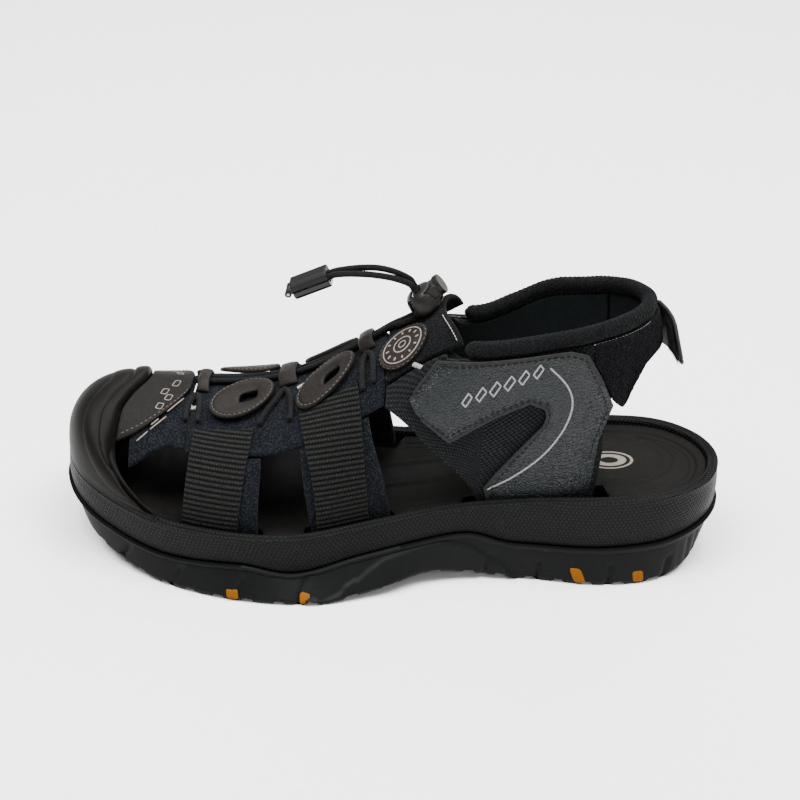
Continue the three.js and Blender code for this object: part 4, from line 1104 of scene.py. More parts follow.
toe = {
    "edge": [(0, -116), (15, -116), (39, -116.5), (60, -116), (75, -113), (95, -107), (125, -108),
             (150, -114),
             (180, -116)],
    "end": 0.235, "skin": 3.0,
    "bands": [(3.6, 3.6, 1.0), (12.4, 4.2, 0.45)],       # from the rear edge: middle, half width, height
    "vampLower": [(-115.5, 16), (-105.5, 32.5), (-99.5, 42), (-92, 48), (-87, 47)],
    "vampSpan": [(0, 56), (0.35, 43), (0.68, 28), (0.92, 15), (1, 8)],
}


def bumperPoint(u, v, inset, off):
    k = sole["toeIndex"] + (u - 0.5) * 24 * toe["end"]
    here, ahead, behind = outlinePoint(k), outlinePoint(k + 0.02), outlinePoint(k - 0.02)
    along = (ahead - behind) / np.linalg.norm(ahead - behind, axis=-1)[..., None]
    footX = here[..., 0] + along[..., 1] * inset
    footY = here[..., 1] - along[..., 0] * inset
    footZ = rimTop(here[..., 0]) + gap - 0.25
    degrees = lerp(3, 177, u)
    top = onForm(smoothCurve(toe["edge"], degrees), degrees, off)
    swing = v * math.pi / 2
    fullness = 2 / 3
    out = 1 - np.cos(swing) ** fullness
    up = np.sin(swing) ** fullness
    return np.stack([lerp(footX, top[..., 0], out), lerp(footY, top[..., 1], out),
                     lerp(footZ, top[..., 2], up)], -1)


def makeToeBumper():
    us = np.linspace(0, 1, 141)
    vs = np.concatenate([np.linspace(0, 0.5, 22)[:-1], np.linspace(0.5, 0.97, 52),
                         [0.98, 0.99, 0.996, 1.0]])
    u, v = np.meshgrid(us, vs, indexing="ij")
    outer = bumperPoint(u, v, 0, 0.4 + toe["skin"])
    inner = bumperPoint(u, v, toe["skin"], 0.4)
    length = gridLengths(outer)[..., 1]
    fromRear = length[:, -1:] - length
    sides = np.clip(np.minimum(u, 1 - u) / 0.05, 0, 1)
    swell = np.zeros_like(u)
    for middle, half, height in toe["bands"]:
        swell += height * np.clip(1 - ((fromRear - middle) / half) ** 2, 0, 1) ** 0.6
    swell -= 0.45 * bellAt(fromRear - 7.6, 0.55)
    swell -= 0.35 * bellAt(length - 2.0, 0.5)
    normal = outer - inner
    normal /= np.linalg.norm(normal, axis=-1)[..., None]
    rim = np.clip(fromRear / 1.2, 0, 1)
    outer = outer + normal * (swell * sides * rim - 1.1 * (1 - np.sqrt(1 - (1 - rim) ** 2)))[..., None]
    quads = shellQuads(*u.shape)
    uv = np.concatenate([gridLengths(outer).reshape(-1, 2)] * 2)
    piece = meshPiece("toe_bumper_rubber", np.concatenate([outer.reshape(-1, 3), inner.reshape(-1, 3)]),
                      quads, uv[quads],
                      sharp=60)
    place(piece, finishes["bumper"], replaces=["toe_bumper"])


def vampEdge(v):
    return smoothCurve(toe["edge"], lerp(39, 151, v)) + 0.8


def vampPlace(u, v):
    return (lerp(vampEdge(v), -87.8, u), 95 + (v - 0.5) * 2 * smoothCurve(toe["vampSpan"], u))


def makeVamp():
    def liningPath(u, v):
        x = lerp(-111, -87, u)
        low = smoothCurve(toe["vampLower"], x)
        return x, lerp(low, 180 - low, v)
    lining = sheetPiece("vamp_lining_knit", formPoint, liningPath, -liningThickness, 0, (26, 60), edge=1.3,
                        least=0.15)
    place(lining, finishes["fleece"], replaces=["vamp_lining"])
    overlay = sheetPiece("vamp_overlay_leather", formPoint, vampPlace, gap + 0.15,
                         gap + 0.15 + webThickness, (30, 70),
                         edge=0.7)
    place(overlay, finishes["vamp"], replaces=["vamp_overlay"])
    top = gap + webThickness + 0.2
    for name, share in (("near", 0.035), ("far", 0.965)):
        u = np.linspace(0.06, 0.97, 60)
        x, degrees = vampPlace(u, np.full_like(u, share))
        stitchPiece(f"vamp_stitches_{name}", formPoint, x, degrees, top, pitch=2.2, length=1.5,
                    finish=finishes["brownThread"])
    # generic motif: a chevron of broken bars and small frames
    for side, turn in (("near", 1), ("far", -1)):
        def spot(x, degrees):
            return x, degrees if turn > 0 else 190 - degrees
        for index, (start, stop) in enumerate((((-106.5, 44), (-102.3, 52)), ((-101.5, 53.5), (-95.5, 64)),
                                               ((-101.3, 56.5), (-98.6, 61.5)),
                                               ((-95.5, 67), (-89.6, 78)))):
            share = np.linspace(0, 1, 12)
            x, degrees = spot(lerp(start[0], stop[0], share), lerp(start[1], stop[1], share))
            ribbonPiece(f"vamp_bar_{side}_{index + 1}", formPoint, x, degrees, top, 0.5, "brownPrint")
        for index, (x0, d0) in enumerate(((-99.2, 70), (-96.2, 77), (-98.4, 81), (-94.4, 88))):
            turns = np.linspace(0, 2 * math.pi, 33)
            power = 0.35
            dx = 1.25 * np.sign(np.cos(turns)) * np.abs(np.cos(turns)) ** power
            dd = 2.0 * np.sign(np.sin(turns)) * np.abs(np.sin(turns)) ** power
            x, degrees = spot(x0 + dx + 0.25 * dd, d0 + dd)
            ribbonPiece(f"vamp_frame_{side}_{index + 1}", formPoint, x, degrees, top, 0.42, "brownPrint")


def ribbonPiece(name, surface, a, b, off, width, finish, body="sandal", height=0.09):
    # a thin printed line: a low ridge along a path on the surface
    line = lifted(surface, a, b, np.full(len(a), float(off)))
    above = lifted(surface, a, b, np.full(len(a), off + 1.0)) - line
    above /= np.linalg.norm(above, axis=1)[:, None]
    ahead = np.gradient(line, axis=0)
    side = np.cross(above, ahead)
    side /= np.maximum(np.linalg.norm(side, axis=1), 1e-9)[:, None]
    across = np.array([-0.5, -0.5, -0.36, 0, 0.36, 0.5, 0.5]) * width
    rise = np.array([-0.25, 0.45 * height, height, height, height, 0.45 * height, -0.25])
    points = line[:, None] + side[:, None] * across[None, :, None] + above[:, None] * rise[None, :, None]
    points[0], points[-1] = (points[0] + line[0]) / 2, (points[-1] + line[-1]) / 2
    return place(joinGrids(name, [points]), finishes[finish], body)


makeToeBumper()
makeVamp()
print("toe made")


# straps and instep

straps = {
    "front": {
        "top": 44, "webTop": 60,
        "lining": ([(-5, -86.5), (60, -84)], [(-5, -54.5), (7, -54.5), (37, -54), (60, -57)]),
        "web": ([(-5, -86), (60, -83)], [(-5, -63), (6, -62.5), (60, -57.5)])},
    "rear": {
        "top": 44, "webTop": 65,
        "lining": ([(-5, -31), (29, -36.5), (60, -39.5)], [(-5, 1.5), (14, -3.5), (33, -8.5), (60, -13)]),
        "web": ([(-5, -30), (8, -30.5), (65, -39)], [(-5, -8.5), (4, -9.5), (65, -14.5)])},
}


def strapPath(edges, top, medial):
    def path(u, v):
        degrees = lerp(-5, top, v)
        x = lerp(smoothCurve(edges[0], degrees), smoothCurve(edges[1], degrees), u)
        return x, mirrored(degrees) if medial else degrees
    return path


def ribs(u, v, uv):
    # thick weft cords across the strap, crossed by rows of threads that alternate from rib to rib
    rib = uv[..., 1] / weave["ribPitch"]
    wave = np.abs(np.sin(math.pi * rib)) ** 0.6
    thread = np.cos(2 * math.pi * uv[..., 0] / weave["threadPitch"] + math.pi * np.floor(rib))
    wander = 0.05 * np.sin(uv[..., 0] * 0.9) * np.sin(uv[..., 1] * 0.6)
    return weave["ribDepth"] * (wave - 1) + weave["threadDepth"] * thread * wave + wander


def makeStraps():
    for name, strap in straps.items():
        for medial in (False, True):
            side = "medial" if medial else "lateral"
            lining = sheetPiece(f"strap_lining_{side}_{name}_knit", formPoint,
                                strapPath(strap["lining"], strap["top"], medial),
                                -liningThickness, 0.1, (40, 60), edge=1.3, least=0.12, relief=fluff)
            place(lining, finishes["fleece"], replaces=[f"strap_lining_{side}_{name}"])
            web = sheetPiece(f"strap_web_{side}_{name}_ribs", formPoint,
                             strapPath(strap["web"], strap["webTop"], medial),
                             gap, gap + webThickness, (76, 210), edge=0.8, least=0.3, relief=ribs)
            place(web, finishes["webbing"], replaces=[f"strap_web_{side}_{name}"])


def fluff(u, v, uv):
    # a shallow, uneven loft
    return (0.16 * np.sin(uv[..., 0] * 2.1 + 1.7 * np.sin(uv[..., 1] * 0.8))
            * np.sin(uv[..., 1] * 1.9 + 1.3 * np.sin(uv[..., 0] * 0.9)))


instep = {
    "front": -86.4, "rear": -4.4, "low": 45.2,
    "tongueEdge": [(-4, 84), (6, 91), (17, 98), (26, 102.5)], "tongueFront": -4, "tongueRear": 27,
    "tongueDip": 8.5,
}


def tonguePath(u, v):
    rear = instep["tongueRear"] - instep["tongueDip"] * np.sin(math.pi * v)
    x = lerp(instep["tongueFront"], rear, u)
    low = degreesAt(x, smoothCurve(instep["tongueEdge"], x)) + 0.6
    return x, lerp(low, 180 - low, v)


def makeInstep():
    low = instep["low"]

    def liningPath(u, v):
        return lerp(instep["front"], instep["rear"], u), lerp(low, mirrored(low), v)
    lining = sheetPiece("instep_lining_knit", formPoint, liningPath, -liningThickness, 0, (110, 110),
                        edge=1.3,
                        least=0.15, relief=fluff)
    place(lining, finishes["fleece"], replaces=["instep_lining"])
    tongue = sheetPiece("tongue_knit", formPoint, tonguePath, -liningThickness, 0, (50, 90), edge=1.4,
                        least=0.2,
                        relief=fluff)
    place(tongue, finishes["collar"], replaces=["tongue"])
    # the tongue's bound rear edge has a pale overlock seam
    v = np.linspace(0.04, 0.34, 60)
    x, degrees = tonguePath(np.full_like(v, 0.955), v)
    stitchPiece("tongue_seam", formPoint, x, degrees, 0.12, pitch=1.25, length=1.2, radius=0.19,
                finish=finishes["paleThread"])


eyelets = {
    "front": {"x": -64, "degrees": 78.5, "long": 14, "short": 12, "lean": 0.35},
    "rear": {"x": -27.6, "degrees": 76.5, "long": 12.2, "short": 12, "lean": 0.5},
}
eyeletHole = 0.27
eyeletOff = 2 * gap + webThickness
eyeletThickness = 1.5


def eyeletPlace(oval, medial, angle, reach, holeShift):
    # the outline is an oval, and the hole a rounded slot
    power = lerp(0.5, 1.0, np.clip((reach - eyeletHole) / 0.3, 0, 1))
    c, s = [np.sign(w) * np.abs(w) ** power for w in (np.cos(angle), np.sin(angle))]
    x = oval["x"] + holeShift + c * oval["long"] * reach
    rise = s + c * oval["lean"]
    degrees = oval["degrees"] + rise * oval["short"] * reach
    return x, mirrored(degrees) if medial else degrees


def makeEyelets():
    for name, oval in eyelets.items():
        for medial in (False, True):
            side = "medial" if medial else "lateral"

            def path(u, v, oval=oval, medial=medial):
                return eyeletPlace(oval, medial, u * 2 * math.pi, lerp(eyeletHole, 1, v), 3 * (1 - v))

            def dome(u, v, uv):
                # stands highest between the hole and the edge, with a stitched channel near the edge
                channel = bellAt(v - 0.87, 0.045)
                return 0.55 * np.sin(math.pi * np.clip(v, 0, 1)) ** 0.7 - 0.35 * channel
            patch = sheetPiece(f"eyelet_{side}_{name}_leather", formPoint, path, eyeletOff,
                               eyeletOff + eyeletThickness, (120, 36), edge=0.6, relief=dome, ring=True)
            place(patch, finishes["suede"], replaces=[f"eyelet_patch_{side}_{name}"])
            angle = np.linspace(0, 2 * math.pi, 160)
            x, degrees = eyeletPlace(oval, medial, angle, lerp(eyeletHole, 1, 0.885), 3 * 0.115)
            stitchPiece(f"eyelet_stitches_{side}_{name}", formPoint, x, degrees,
                        eyeletOff + eyeletThickness + 0.12,
                        pitch=2.1, length=1.45, radius=0.2, finish=finishes["brownThread"])


laceLoops = {"front": (-82.6, 5.5), "middle": (-45, 8), "rear": (-11.2, 6)}


def makeLaceLoops():
    over = gap + cords["diameter"] + gap
    for name, (x, width) in laceLoops.items():
        def path(u, v, x=x, width=width):
            waist = 1 - 0.12 * np.sin(math.pi * v)
            return x + (u - 0.5) * width * waist, lerp(86, 108.5, v)

        def low(u, v):
            rise = np.minimum(1, np.minimum(v, 1 - v) * 4.2)
            return lerp(gap, over, np.sin(rise * math.pi / 2))

        def high(u, v, low=low):
            return low(u, v) + eyeletThickness - 0.45 * (2 * u - 1) ** 2
        loop = sheetPiece(f"lace_loop_{name}_leather", formPoint, path, low, high, (16, 60), edge=0.5)
        place(loop, finishes["suede"], replaces=[f"lace_loop_{name}"])
    # pale bartacks beside the loops
    for name, x, degrees, along in (("front", -85.2, 74.5, 3.4), ("middle", -39.6, 84, 3.4),
                                    ("rear", 9.0, 55.5, 3.6)):
        share = np.linspace(-0.5, 0.5, 10)
        lean = 0.5 if name != "rear" else -1.4
        stitchPiece(f"bartack_{name}", formPoint, x + share * along, degrees + lean * share * along, 0.2,
                    pitch=0.55,
                    length=2.3, radius=0.26, across=1.35, finish=finishes["paleThread"])


keepers = {
    "front": [(-87.6, 64), (-87, 75), (-84.9, 82.6), (-82.6, 75), (-82.2, 64)],
    "middle": [(-55.6, 62), (-52.6, 70), (-49.2, 76.5), (-46.2, 82.6), (-43.6, 77), (-42.4, 69),
               (-42.4, 61)],
    "rear": [(-12.5, 59), (-12.9, 70), (-12.7, 78), (-10.9, 82.6), (-9.1, 78), (-8.4, 70), (-8.2, 60)],
}


def makeKeepers():
    off = gap + cords["keeperDiameter"] / 2
    for name, route in keepers.items():
        x, degrees = np.array(route, float).T
        for medial in (False, True):
            side = "medial" if medial else "lateral"
            points = onForm(x, mirrored(degrees) if medial else degrees, np.full(len(x), off))
            keeper = tubePiece(f"keeper_{side}_{name}_cord", cordPath(points, 0.3),
                               cords["keeperDiameter"] / 2, 18, braid)
            place(keeper, finishes["cord"], replaces=[f"keeper_cord_{side}_{name}"])


badge = {"x": 3.6, "degrees": 72.5, "radius": 9.6, "span": 13, "ring": 0.78, "ticks": 12}


def badgeRound(angle, reach):
    # a circle on the disc's own square of parameters
    c, s = np.cos(angle), np.sin(angle)
    x = badge["x"] + badge["radius"] * reach * c
    return x, badge["degrees"] + badge["span"] * reach * s


def makeBadge():
    def path(u, v):
        return badgeRound(u * 2 * math.pi, lerp(0.004, 1, v))

    def dome(u, v, uv):
        return 0.5 * (1 - v ** 2) + 0.25 * bellAt(v - 0.93, 0.04) - 0.2 * bellAt(v - 0.84, 0.03)
    disc = sheetPiece("tongue_badge_disc", formPoint, path, gap, gap + webThickness, (96, 30), edge=0.6,
                      relief=dome, ring=True)
    place(disc, finishes["suede"], replaces=["tongue_badge"])
    top = gap + webThickness + 0.3
    angle = np.linspace(0, 2 * math.pi, 90)
    x, degrees = badgeRound(angle, badge["ring"])
    ribbonPiece("badge_ring", formPoint, x, degrees, top, 0.5, "brownPrint")
    x, degrees = badgeRound(angle, 0.96)
    stitchPiece("badge_stitches", formPoint, x, degrees, top - 0.45, pitch=2.2, length=1.5, radius=0.2,
                finish=finishes["brownThread"])
    for index in range(badge["ticks"]):
        turn = 2 * math.pi * index / badge["ticks"]
        reach = np.linspace(0.54, 0.68, 6)
        x, degrees = badgeRound(np.full(6, turn), reach)
        ribbonPiece(f"badge_tick_{index + 1}", formPoint, x, degrees, top + 0.05, 0.7, "brownPrint")
    for index, reach in enumerate((0.14, 0.34)):
        x, degrees = badgeRound(angle, reach)
        ribbonPiece(f"badge_inner_ring_{index + 1}", formPoint, x, degrees, top + 0.12, 0.55, "brownPrint")


def makeLace():
    off = gap + cords["diameter"] / 2
    near, far, front, rear = 94.6, 100.2, -84, -1

    def run(degrees, start, stop):
        xs = np.linspace(start, stop, 9)
        return list(onForm(xs, degrees, np.full(9, off)))
    into = [(-5, 0.6), (-1.5, 1.7), (-0.1, 3.5), (0, 4.9)]
    spread = lock["cordSpread"]
    route = [fromLock(x, -spread, z) for x, z in into][::-1]
    route.append(onForm(4.6, 89.6, off + 0.1))
    route += run(near, rear, front) + [onForm(front - 2, lerp(near, far, 0.5), off)] + run(far, front, rear)
    route.append(onForm(4.6, 94.2, off + 0.1))
    route += [fromLock(x, spread, z) for x, z in into]
    lace = tubePiece("lace_cord", cordPath(route, 0.3), cords["diameter"] / 2, 20, braid)
    place(lace, finishes["cord"], replaces=["lace"])


makeStraps()
makeInstep()
makeEyelets()
makeLaceLoops()
makeKeepers()
makeBadge()
makeLace()
print("straps and instep made")


# quarters, collar and heel

quarter = {
    "front": -3.6, "rear": 88,
    "lower": [(-6.5, 78), (0.5, 74), (7.5, 68), (15, 59), (25, 49), (33, 39), (37, 31), (46, 31), (84, 33),
              (88, 60)],
    "leatherTop": [(17, 97), (34.5, 98.5), (53.5, 102), (70.5, 106), (88.5, 109.5), (103, 111),
                   (124.5, 112)],
    "medialDrop": [(17, 1), (34.5, 4.5), (48, 1.5), (62, -1.8), (80, -0.2), (100, -0.5), (124.5, 0)],
    # hook-shaped leather, from its front tip back along the collar and down to the sole:
    # inner edge distance and z, outer edge distance and z
    "leather": [
        (8.5, 75.5, 6, 80.5), (23, 63, 17.5, 96), (43, 76, 34.5, 98), (55, 82, 53.5, 101.5),
        (61.5, 79.5, 70, 105),
        (62.5, 75.5, 76, 103.5), (61, 71, 81.5, 92.5), (56, 65, 88, 80), (50, 57.5, 84, 64.5),
        (43, 48.5, 83, 52),
        (38, 41, 82.5, 41), (40, 34, 82, 34)],
    "arc": [(62, 98), (68.5, 91.5), (71.5, 83), (69.5, 71.5), (62.5, 59), (50.5, 47.5), (39.5, 40.5)],
}


def wallDistance(along):
    return np.where(along > foot["heelMiddle"], heelEnd - along, along)


def wallTop(along):
    u = wallDistance(along)
    tongue = smoothCurve(instep["tongueEdge"], u) - 0.6
    front = np.minimum(tongue, smoothCurve(quarter["leatherTop"], 17) + 3)
    top = np.where(u < 20, front, smoothCurve(quarter["leatherTop"], u))
    return np.where(along > foot["heelMiddle"], top - smoothCurve(quarter["medialDrop"], u), top)


def leatherPlace(u, v, medial):
    rows = np.array(quarter["leather"], float)
    k = np.arange(len(rows))
    edge = [np.interp(u * (len(rows) - 1), k, rows[:, c]) for c in range(4)]
    z = lerp(edge[1], edge[3], v)
    s = lerp(edge[0], edge[2], v)
    a = heelEnd - s if medial else s
    drop = smoothCurve(quarter["medialDrop"],
                       wallDistance(a)) * np.maximum(0, (z - 60) / 45) if medial else 0
    return a, z - drop


def makeQuarters():
    for medial in (False, True):
        side = "medial" if medial else "lateral"

        def path(u, v, medial=medial):
            s = lerp(quarter["front"], quarter["rear"], u)
            a = heelEnd - s if medial else s
            return a, lerp(smoothCurve(quarter["lower"], s), wallTop(a), v)

        def underPath(u, v, medial=medial):
            # the lining runs on under the tongue and the instep, behind their seams
            s = lerp(quarter["front"] - 3.0, quarter["rear"], u)
            a = heelEnd - s if medial else s
            top = wallTop(a) + 3.2 * np.clip((26 - s) / 5, 0, 1)
            return a, lerp(smoothCurve(quarter["lower"], s), top, v)
        lining = sheetPiece(f"quarter_lining_{side}_cloth", wallPoint, underPath,
                            -liningThickness - gap - 0.9,
                            -liningThickness - gap, (90, 50), edge=0.4)
        place(lining, finishes["lining"], replaces=[f"quarter_lining_{side}"])
        base = sheetPiece(f"quarter_mesh_{side}_cloth", wallPoint, path, -liningThickness, 0, (120, 70),
                          edge=1.2,
                          least=0.2)
        place(base, finishes["mesh"], replaces=[f"quarter_mesh_{side}"])

        def leatherPath(u, v, medial=medial):
            return leatherPlace(u, v, medial)

        def fold(u, v, uv):
            # the turned edge stands a little proud beside its stitch channel
            near = np.minimum(v, 1 - v) * 1.0
            return 0.25 * bellAt(near, 0.02)
        leather = sheetPiece(f"quarter_leather_{side}_hide", wallPoint, leatherPath, 2 * gap,
                             2 * gap + webThickness,
                             (200, 44), edge=0.9, relief=fold)
        place(leather, finishes["leather"], replaces=[f"quarter_leather_{side}"])
        trimLeather(side, medial)


motif = {"count": 6, "x": (29.5, 57.5), "z": (82.0, 96.0), "turn": 0.12, "size": 3.5, "shrink": 0.8}


def trimLeather(side, medial):
    top = 2 * gap + webThickness
    u = np.linspace(0.015, 0.985, 300)
    for name, share, radius in (("inner", 0.012, 0.75), ("outer", 0.988, 0.7)):
        # folded binding along both edges of the hook
        stretch = u if name == "inner" else u[:170]
        a, z = leatherPlace(stretch, np.full_like(stretch, share), medial)
        ribbonPiece(f"quarter_binding_{side}_{name}", wallPoint, a, z, top - 0.15, 2.0 * radius, "fold",
                    height=0.4)
    for name, share in (("inner", 0.075), ("outer", 0.93)):
        stretch = u if name == "inner" else u[:240]
        a, z = leatherPlace(stretch, np.full_like(stretch, share), medial)
        stitchPiece(f"quarter_stitches_{side}_{name}", wallPoint, a, z, top + 0.05, pitch=2.6, length=1.9,
                    radius=0.24)
    # the thin pale arc, and a row of plain slanted lozenges
    knots = np.array(quarter["arc"], float)
    line = cordPath(np.c_[knots, np.zeros(len(knots))], 1.0)
    along = heelEnd - line[:, 0] if medial else line[:, 0]
    ribbonPiece(f"quarter_arc_{side}", wallPoint, along, line[:, 1], top + 0.05, 0.75, "print")
    for index in range(motif["count"]):
        share = index / (motif["count"] - 1)
        x0, z0 = lerp(*motif["x"], share), lerp(*motif["z"], share)
        turns = np.linspace(0, 2 * math.pi, 5) + motif["turn"]
        size = motif["size"] - motif["shrink"] * abs(share - 0.5)
        a = x0 + size * 0.62 * np.cos(turns) + 0.25 * size * np.sin(turns)
        z = z0 + size * np.sin(turns) + 0.3 * size * np.cos(turns)
        fine = np.linspace(0, 4, 33)
        a, z = [np.interp(fine, np.arange(5), c) for c in (a, z)]
        ribbonPiece(f"quarter_motif_{side}_frame_{index + 1}", wallPoint, heelEnd - a if medial else a, z,
                    top + 0.05, 0.65, "print")


collar = {"front": 27.5, "height": 7, "puff": 3.15, "ribPitch": 1.9, "ribDepth": 0.28}


def makeCollar():
    stations, sides = 520, 32
    along = np.linspace(collar["front"], heelEnd - collar["front"], stations)
    low = wallTop(along) + 0.5
    angle = np.linspace(0, 2 * math.pi, sides + 1)
    run = along[:, None] + 0 * angle[None, :]
    plump = 1 + 0.05 * np.sin(along / 6.3) + 0.04 * np.sin(along / 2.9 + 1)
    rib = collar["ribDepth"] * (np.abs(np.sin(math.pi * along / collar["ribPitch"])) - 1)
    taper = np.sqrt(np.clip(np.minimum(along - along[0], along[-1] - along) / 3.0, 0, 1))
    off = -1.2 + (collar["puff"] * plump[:, None] + rib[:, None]) * np.sin(angle)[None, :] * taper[:, None]
    rise = (0.5 - 0.5 * np.cos(angle))[None, :]
    z = low[:, None] + (collar["height"] + rib[:, None]) * rise * taper[:, None] \
        + (1 - taper[:, None]) * collar["height"] / 2
    points = lifted(wallPoint, run, z, off)
    quads = gridQuads(*points.shape[:2])
    uv = gridLengths(points).reshape(-1, 2)
    pad = meshPiece("collar_pad_knit", points.reshape(-1, 3), quads, uv[quads], weld=0.003)
    place(pad, finishes["collar"], replaces=["collar_pad"])
    for name, start, stop, finish in (("front", 29, 78, "thread"), ("rear", 78, 110, "paleThread"),
                                      ("far", 139, 220, "thread")):
        a = np.linspace(start, stop, 120)
        stitchPiece(f"collar_seam_{name}", wallPoint, a, wallTop(a) - 0.4, 0.35, pitch=1.5, length=1.15,
                    radius=0.17,
                    finish=finishes[finish])


heel = {
    "band": [(79, 99), (82.5, 92.5), (89.5, 80), (93, 77.5), (97.5, 88), (103, 95), (112, 97), (124.5, 97)],
    "liningStart": 88.6, "bandStart": 79, "pile": 0.55,
    "strapOff": 3 * gap + webThickness, "strapThickness": 1.6, "low": 92, "high": 110.5,
    "hinge": 134, "anchorEnd": 172, "anchorTaper": 4, "anchorDrop": 5,
    "flapLength": 23, "away": 0.02, "curl": 0.011, "splay": 0.12, "lift": 1.1,
}


def makeHeelBand():
    def liningPath(u, v):
        along = lerp(heel["liningStart"], heelEnd - heel["liningStart"], u)
        low = smoothCurve(heel["band"], wallDistance(along))
        return along, lerp(low + 0.2, wallTop(along), v)

    def bandPath(u, v):
        along = lerp(heel["bandStart"], heelEnd - heel["bandStart"], u)
        low = smoothCurve(heel["band"], wallDistance(along))
        return along, lerp(low + 0.4, wallTop(along) - 0.2, v)
    lining = sheetPiece("heel_lining_knit", wallPoint, liningPath, -liningThickness, 0, (110, 40), edge=1.2,
                        least=0.2)
    place(lining, finishes["lining"], replaces=["heel_lining"])
    rng = np.random.default_rng(7)
    tufts = rng.normal(size=(400, 200))

    def pile(u, v, uv):
        i = np.clip((uv[..., 0] * 1.6).astype(int) % 400, 0, 399)
        j = np.clip((uv[..., 1] * 1.6).astype(int) % 200, 0, 199)
        return heel["pile"] * 0.35 * np.clip(tufts[i, j], -1, 1.6) - 0.2
    band = sheetPiece("heel_loop_band_pile", wallPoint, bandPath, gap, gap + webThickness, (260, 70),
                      edge=0.8, least=0.3,
                      relief=pile)
    place(band, finishes["loop"], replaces=["heel_loop_band"])


def flapAxes():
    low, high, ahead = [lifted(wallPoint, np.array(a), np.array(z), np.array(heel["strapOff"]))
                        for a, z in ((heel["hinge"], heel["low"]), (heel["hinge"], heel["high"]),
                                     (heel["hinge"] - 1.0, heel["low"]))]
    up = (high - low) / np.linalg.norm(high - low)
    along = (ahead - low) / np.linalg.norm(ahead - low)
    out = -np.cross(along, up)
    out /= np.linalg.norm(out)
    return low, up, along, out if out[0] > 0 else -out, np.linalg.norm(high - low)


def makeHeelStrap():
    # one strap: sewn on the big-toe side, and free from the hinge line round to its end
    low, up, along, out, height = flapAxes()
    joined = 6.0                # the sewn part rises to the loose part over this length
    lengthBack = heel["anchorEnd"] - heel["hinge"]

    def strapPoint(run, share, off):
        back = np.clip(-run, 0, None) / lengthBack
        a = heel["hinge"] + np.clip(-run, 0, None)
        high = heel["high"] - heel["anchorTaper"] * back
        z = lerp(heel["low"], high, share) - heel["anchorDrop"] * back ** 2
        rise = heel["lift"] * np.clip(1 + run / joined, 0, 1) ** 2
        sewn = lifted(wallPoint, a, z, heel["strapOff"] + off + rise)
        free = np.clip(run, 0, None)
        lift = heel["lift"] + free * math.sin(heel["away"]) - free ** 2 * heel["curl"] \
            + heel["splay"] * free * (1 - share)
        loose = low + up * (share * height)[..., None] \
            + along * (free * math.cos(heel["away"]))[..., None] \
            + out * (off + lift)[..., None]
        return np.where((run < 0)[..., None], sewn, loose)
    rows, columns = 150, 46
    us, vs = rimSteps(rows, 0.012), rimSteps(columns, 0.04)
    u, v = np.meshgrid(us, vs, indexing="ij")
    profile = rimProfile(u, 0.012, 0.35) * rimProfile(v, 0.04, 0.35)
    run = lerp(-lengthBack, heel["flapLength"], u)
    share = v + (0.5 - v) * 0.35 * np.clip((u - 0.93) / 0.07, 0, 1) ** 2      # rounded corners
    half = heel["strapThickness"] / 2
    ridge = 0.22 * bellAt(np.minimum(v, 1 - v) - 0.11, 0.03)
    outer = strapPoint(run, share, half + half * profile - ridge)
    inner = strapPoint(run, share, half - half * profile)
    quads = shellQuads(*u.shape)
    uv = np.concatenate([gridLengths(outer).reshape(-1, 2)] * 2)
    strap = meshPiece("heel_strap_leather", np.concatenate([outer.reshape(-1, 3), inner.reshape(-1, 3)]),
                      quads, uv[quads])
    strap.data.materials.append(finishes["strapTop"])
    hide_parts("heel_strap_anchor", "heel_strap_flap")
    start = toFrame(strapPoint(np.array(-2.0), np.array(0.5), np.array(half)))
    stop = toFrame(strapPoint(np.array(5.0), np.array(0.5), np.array(half)))
    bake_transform(strap)
    makeHooks(strapPoint)


hookWire = 0.13


def makeHooks(strapPoint):
    # hook tape: a thin backing with rows of small bent hooks
    u, v = np.meshgrid(rimSteps(30, 0.03), rimSteps(30, 0.03), indexing="ij")
    run = lerp(8, heel["flapLength"] - 1.5, u)
    share = lerp(0.06, 0.94, v)
    shell = [strapPoint(run, share, -gap - 0.5 * layer + 0 * u) for layer in (0, 1)]
    hooks = []
    for r in np.linspace(9, heel["flapLength"] - 2.5, 15):
        for s in np.linspace(0.09, 0.91, 16):
            root = strapPoint(np.array(r), np.array(s), np.array(-gap - 0.4))
            tip = strapPoint(np.array(r), np.array(s), np.array(-gap - 1.2))
            bend = strapPoint(np.array(r + 0.35), np.array(s), np.array(-gap - 1.1))
            spine = np.stack([root, lerp(root, tip, 0.6), tip, bend])
            angle = np.linspace(0, 2 * math.pi, 5)
            cosines, sines = np.cos(angle)[None, :, None], np.sin(angle)[None, :, None]
            ring = hookWire * (cosines * up3(root, tip) + sines * side3(root, tip))
            hooks.append(spine[:, None] + ring)
    grids = [shell[0], shell[1][:, ::-1]] + hooks
    tape = joinGrids("heel_strap_hook_tape", grids)
    place(tape, finishes["hooks"], "heel_flap", replaces=["heel_strap_hooks"])


def side3(a, b):
    side = np.cross(b - a, [0.2, 0.1, 1.0])
    return side / np.linalg.norm(side)


def up3(a, b):
    up = np.cross(side3(a, b), b - a)
    return up / np.linalg.norm(up)


makeQuarters()
makeCollar()
makeHeelBand()
makeHeelStrap()
print("quarters and heel made")


# the cord lock's body is turned and cut here; the other small parts keep the model's shapes, softened

# finish, remeshing grain in millimetres, smoothing passes
hardware = {
    "cord_lock_button": ("plastic", 0.2, 6), "clip_base": ("gloss", 0.25, 12),
    "clip_cover": ("clipTop", 0.25, 12), "clip_hinge_pin": ("steel", 0, 0)}

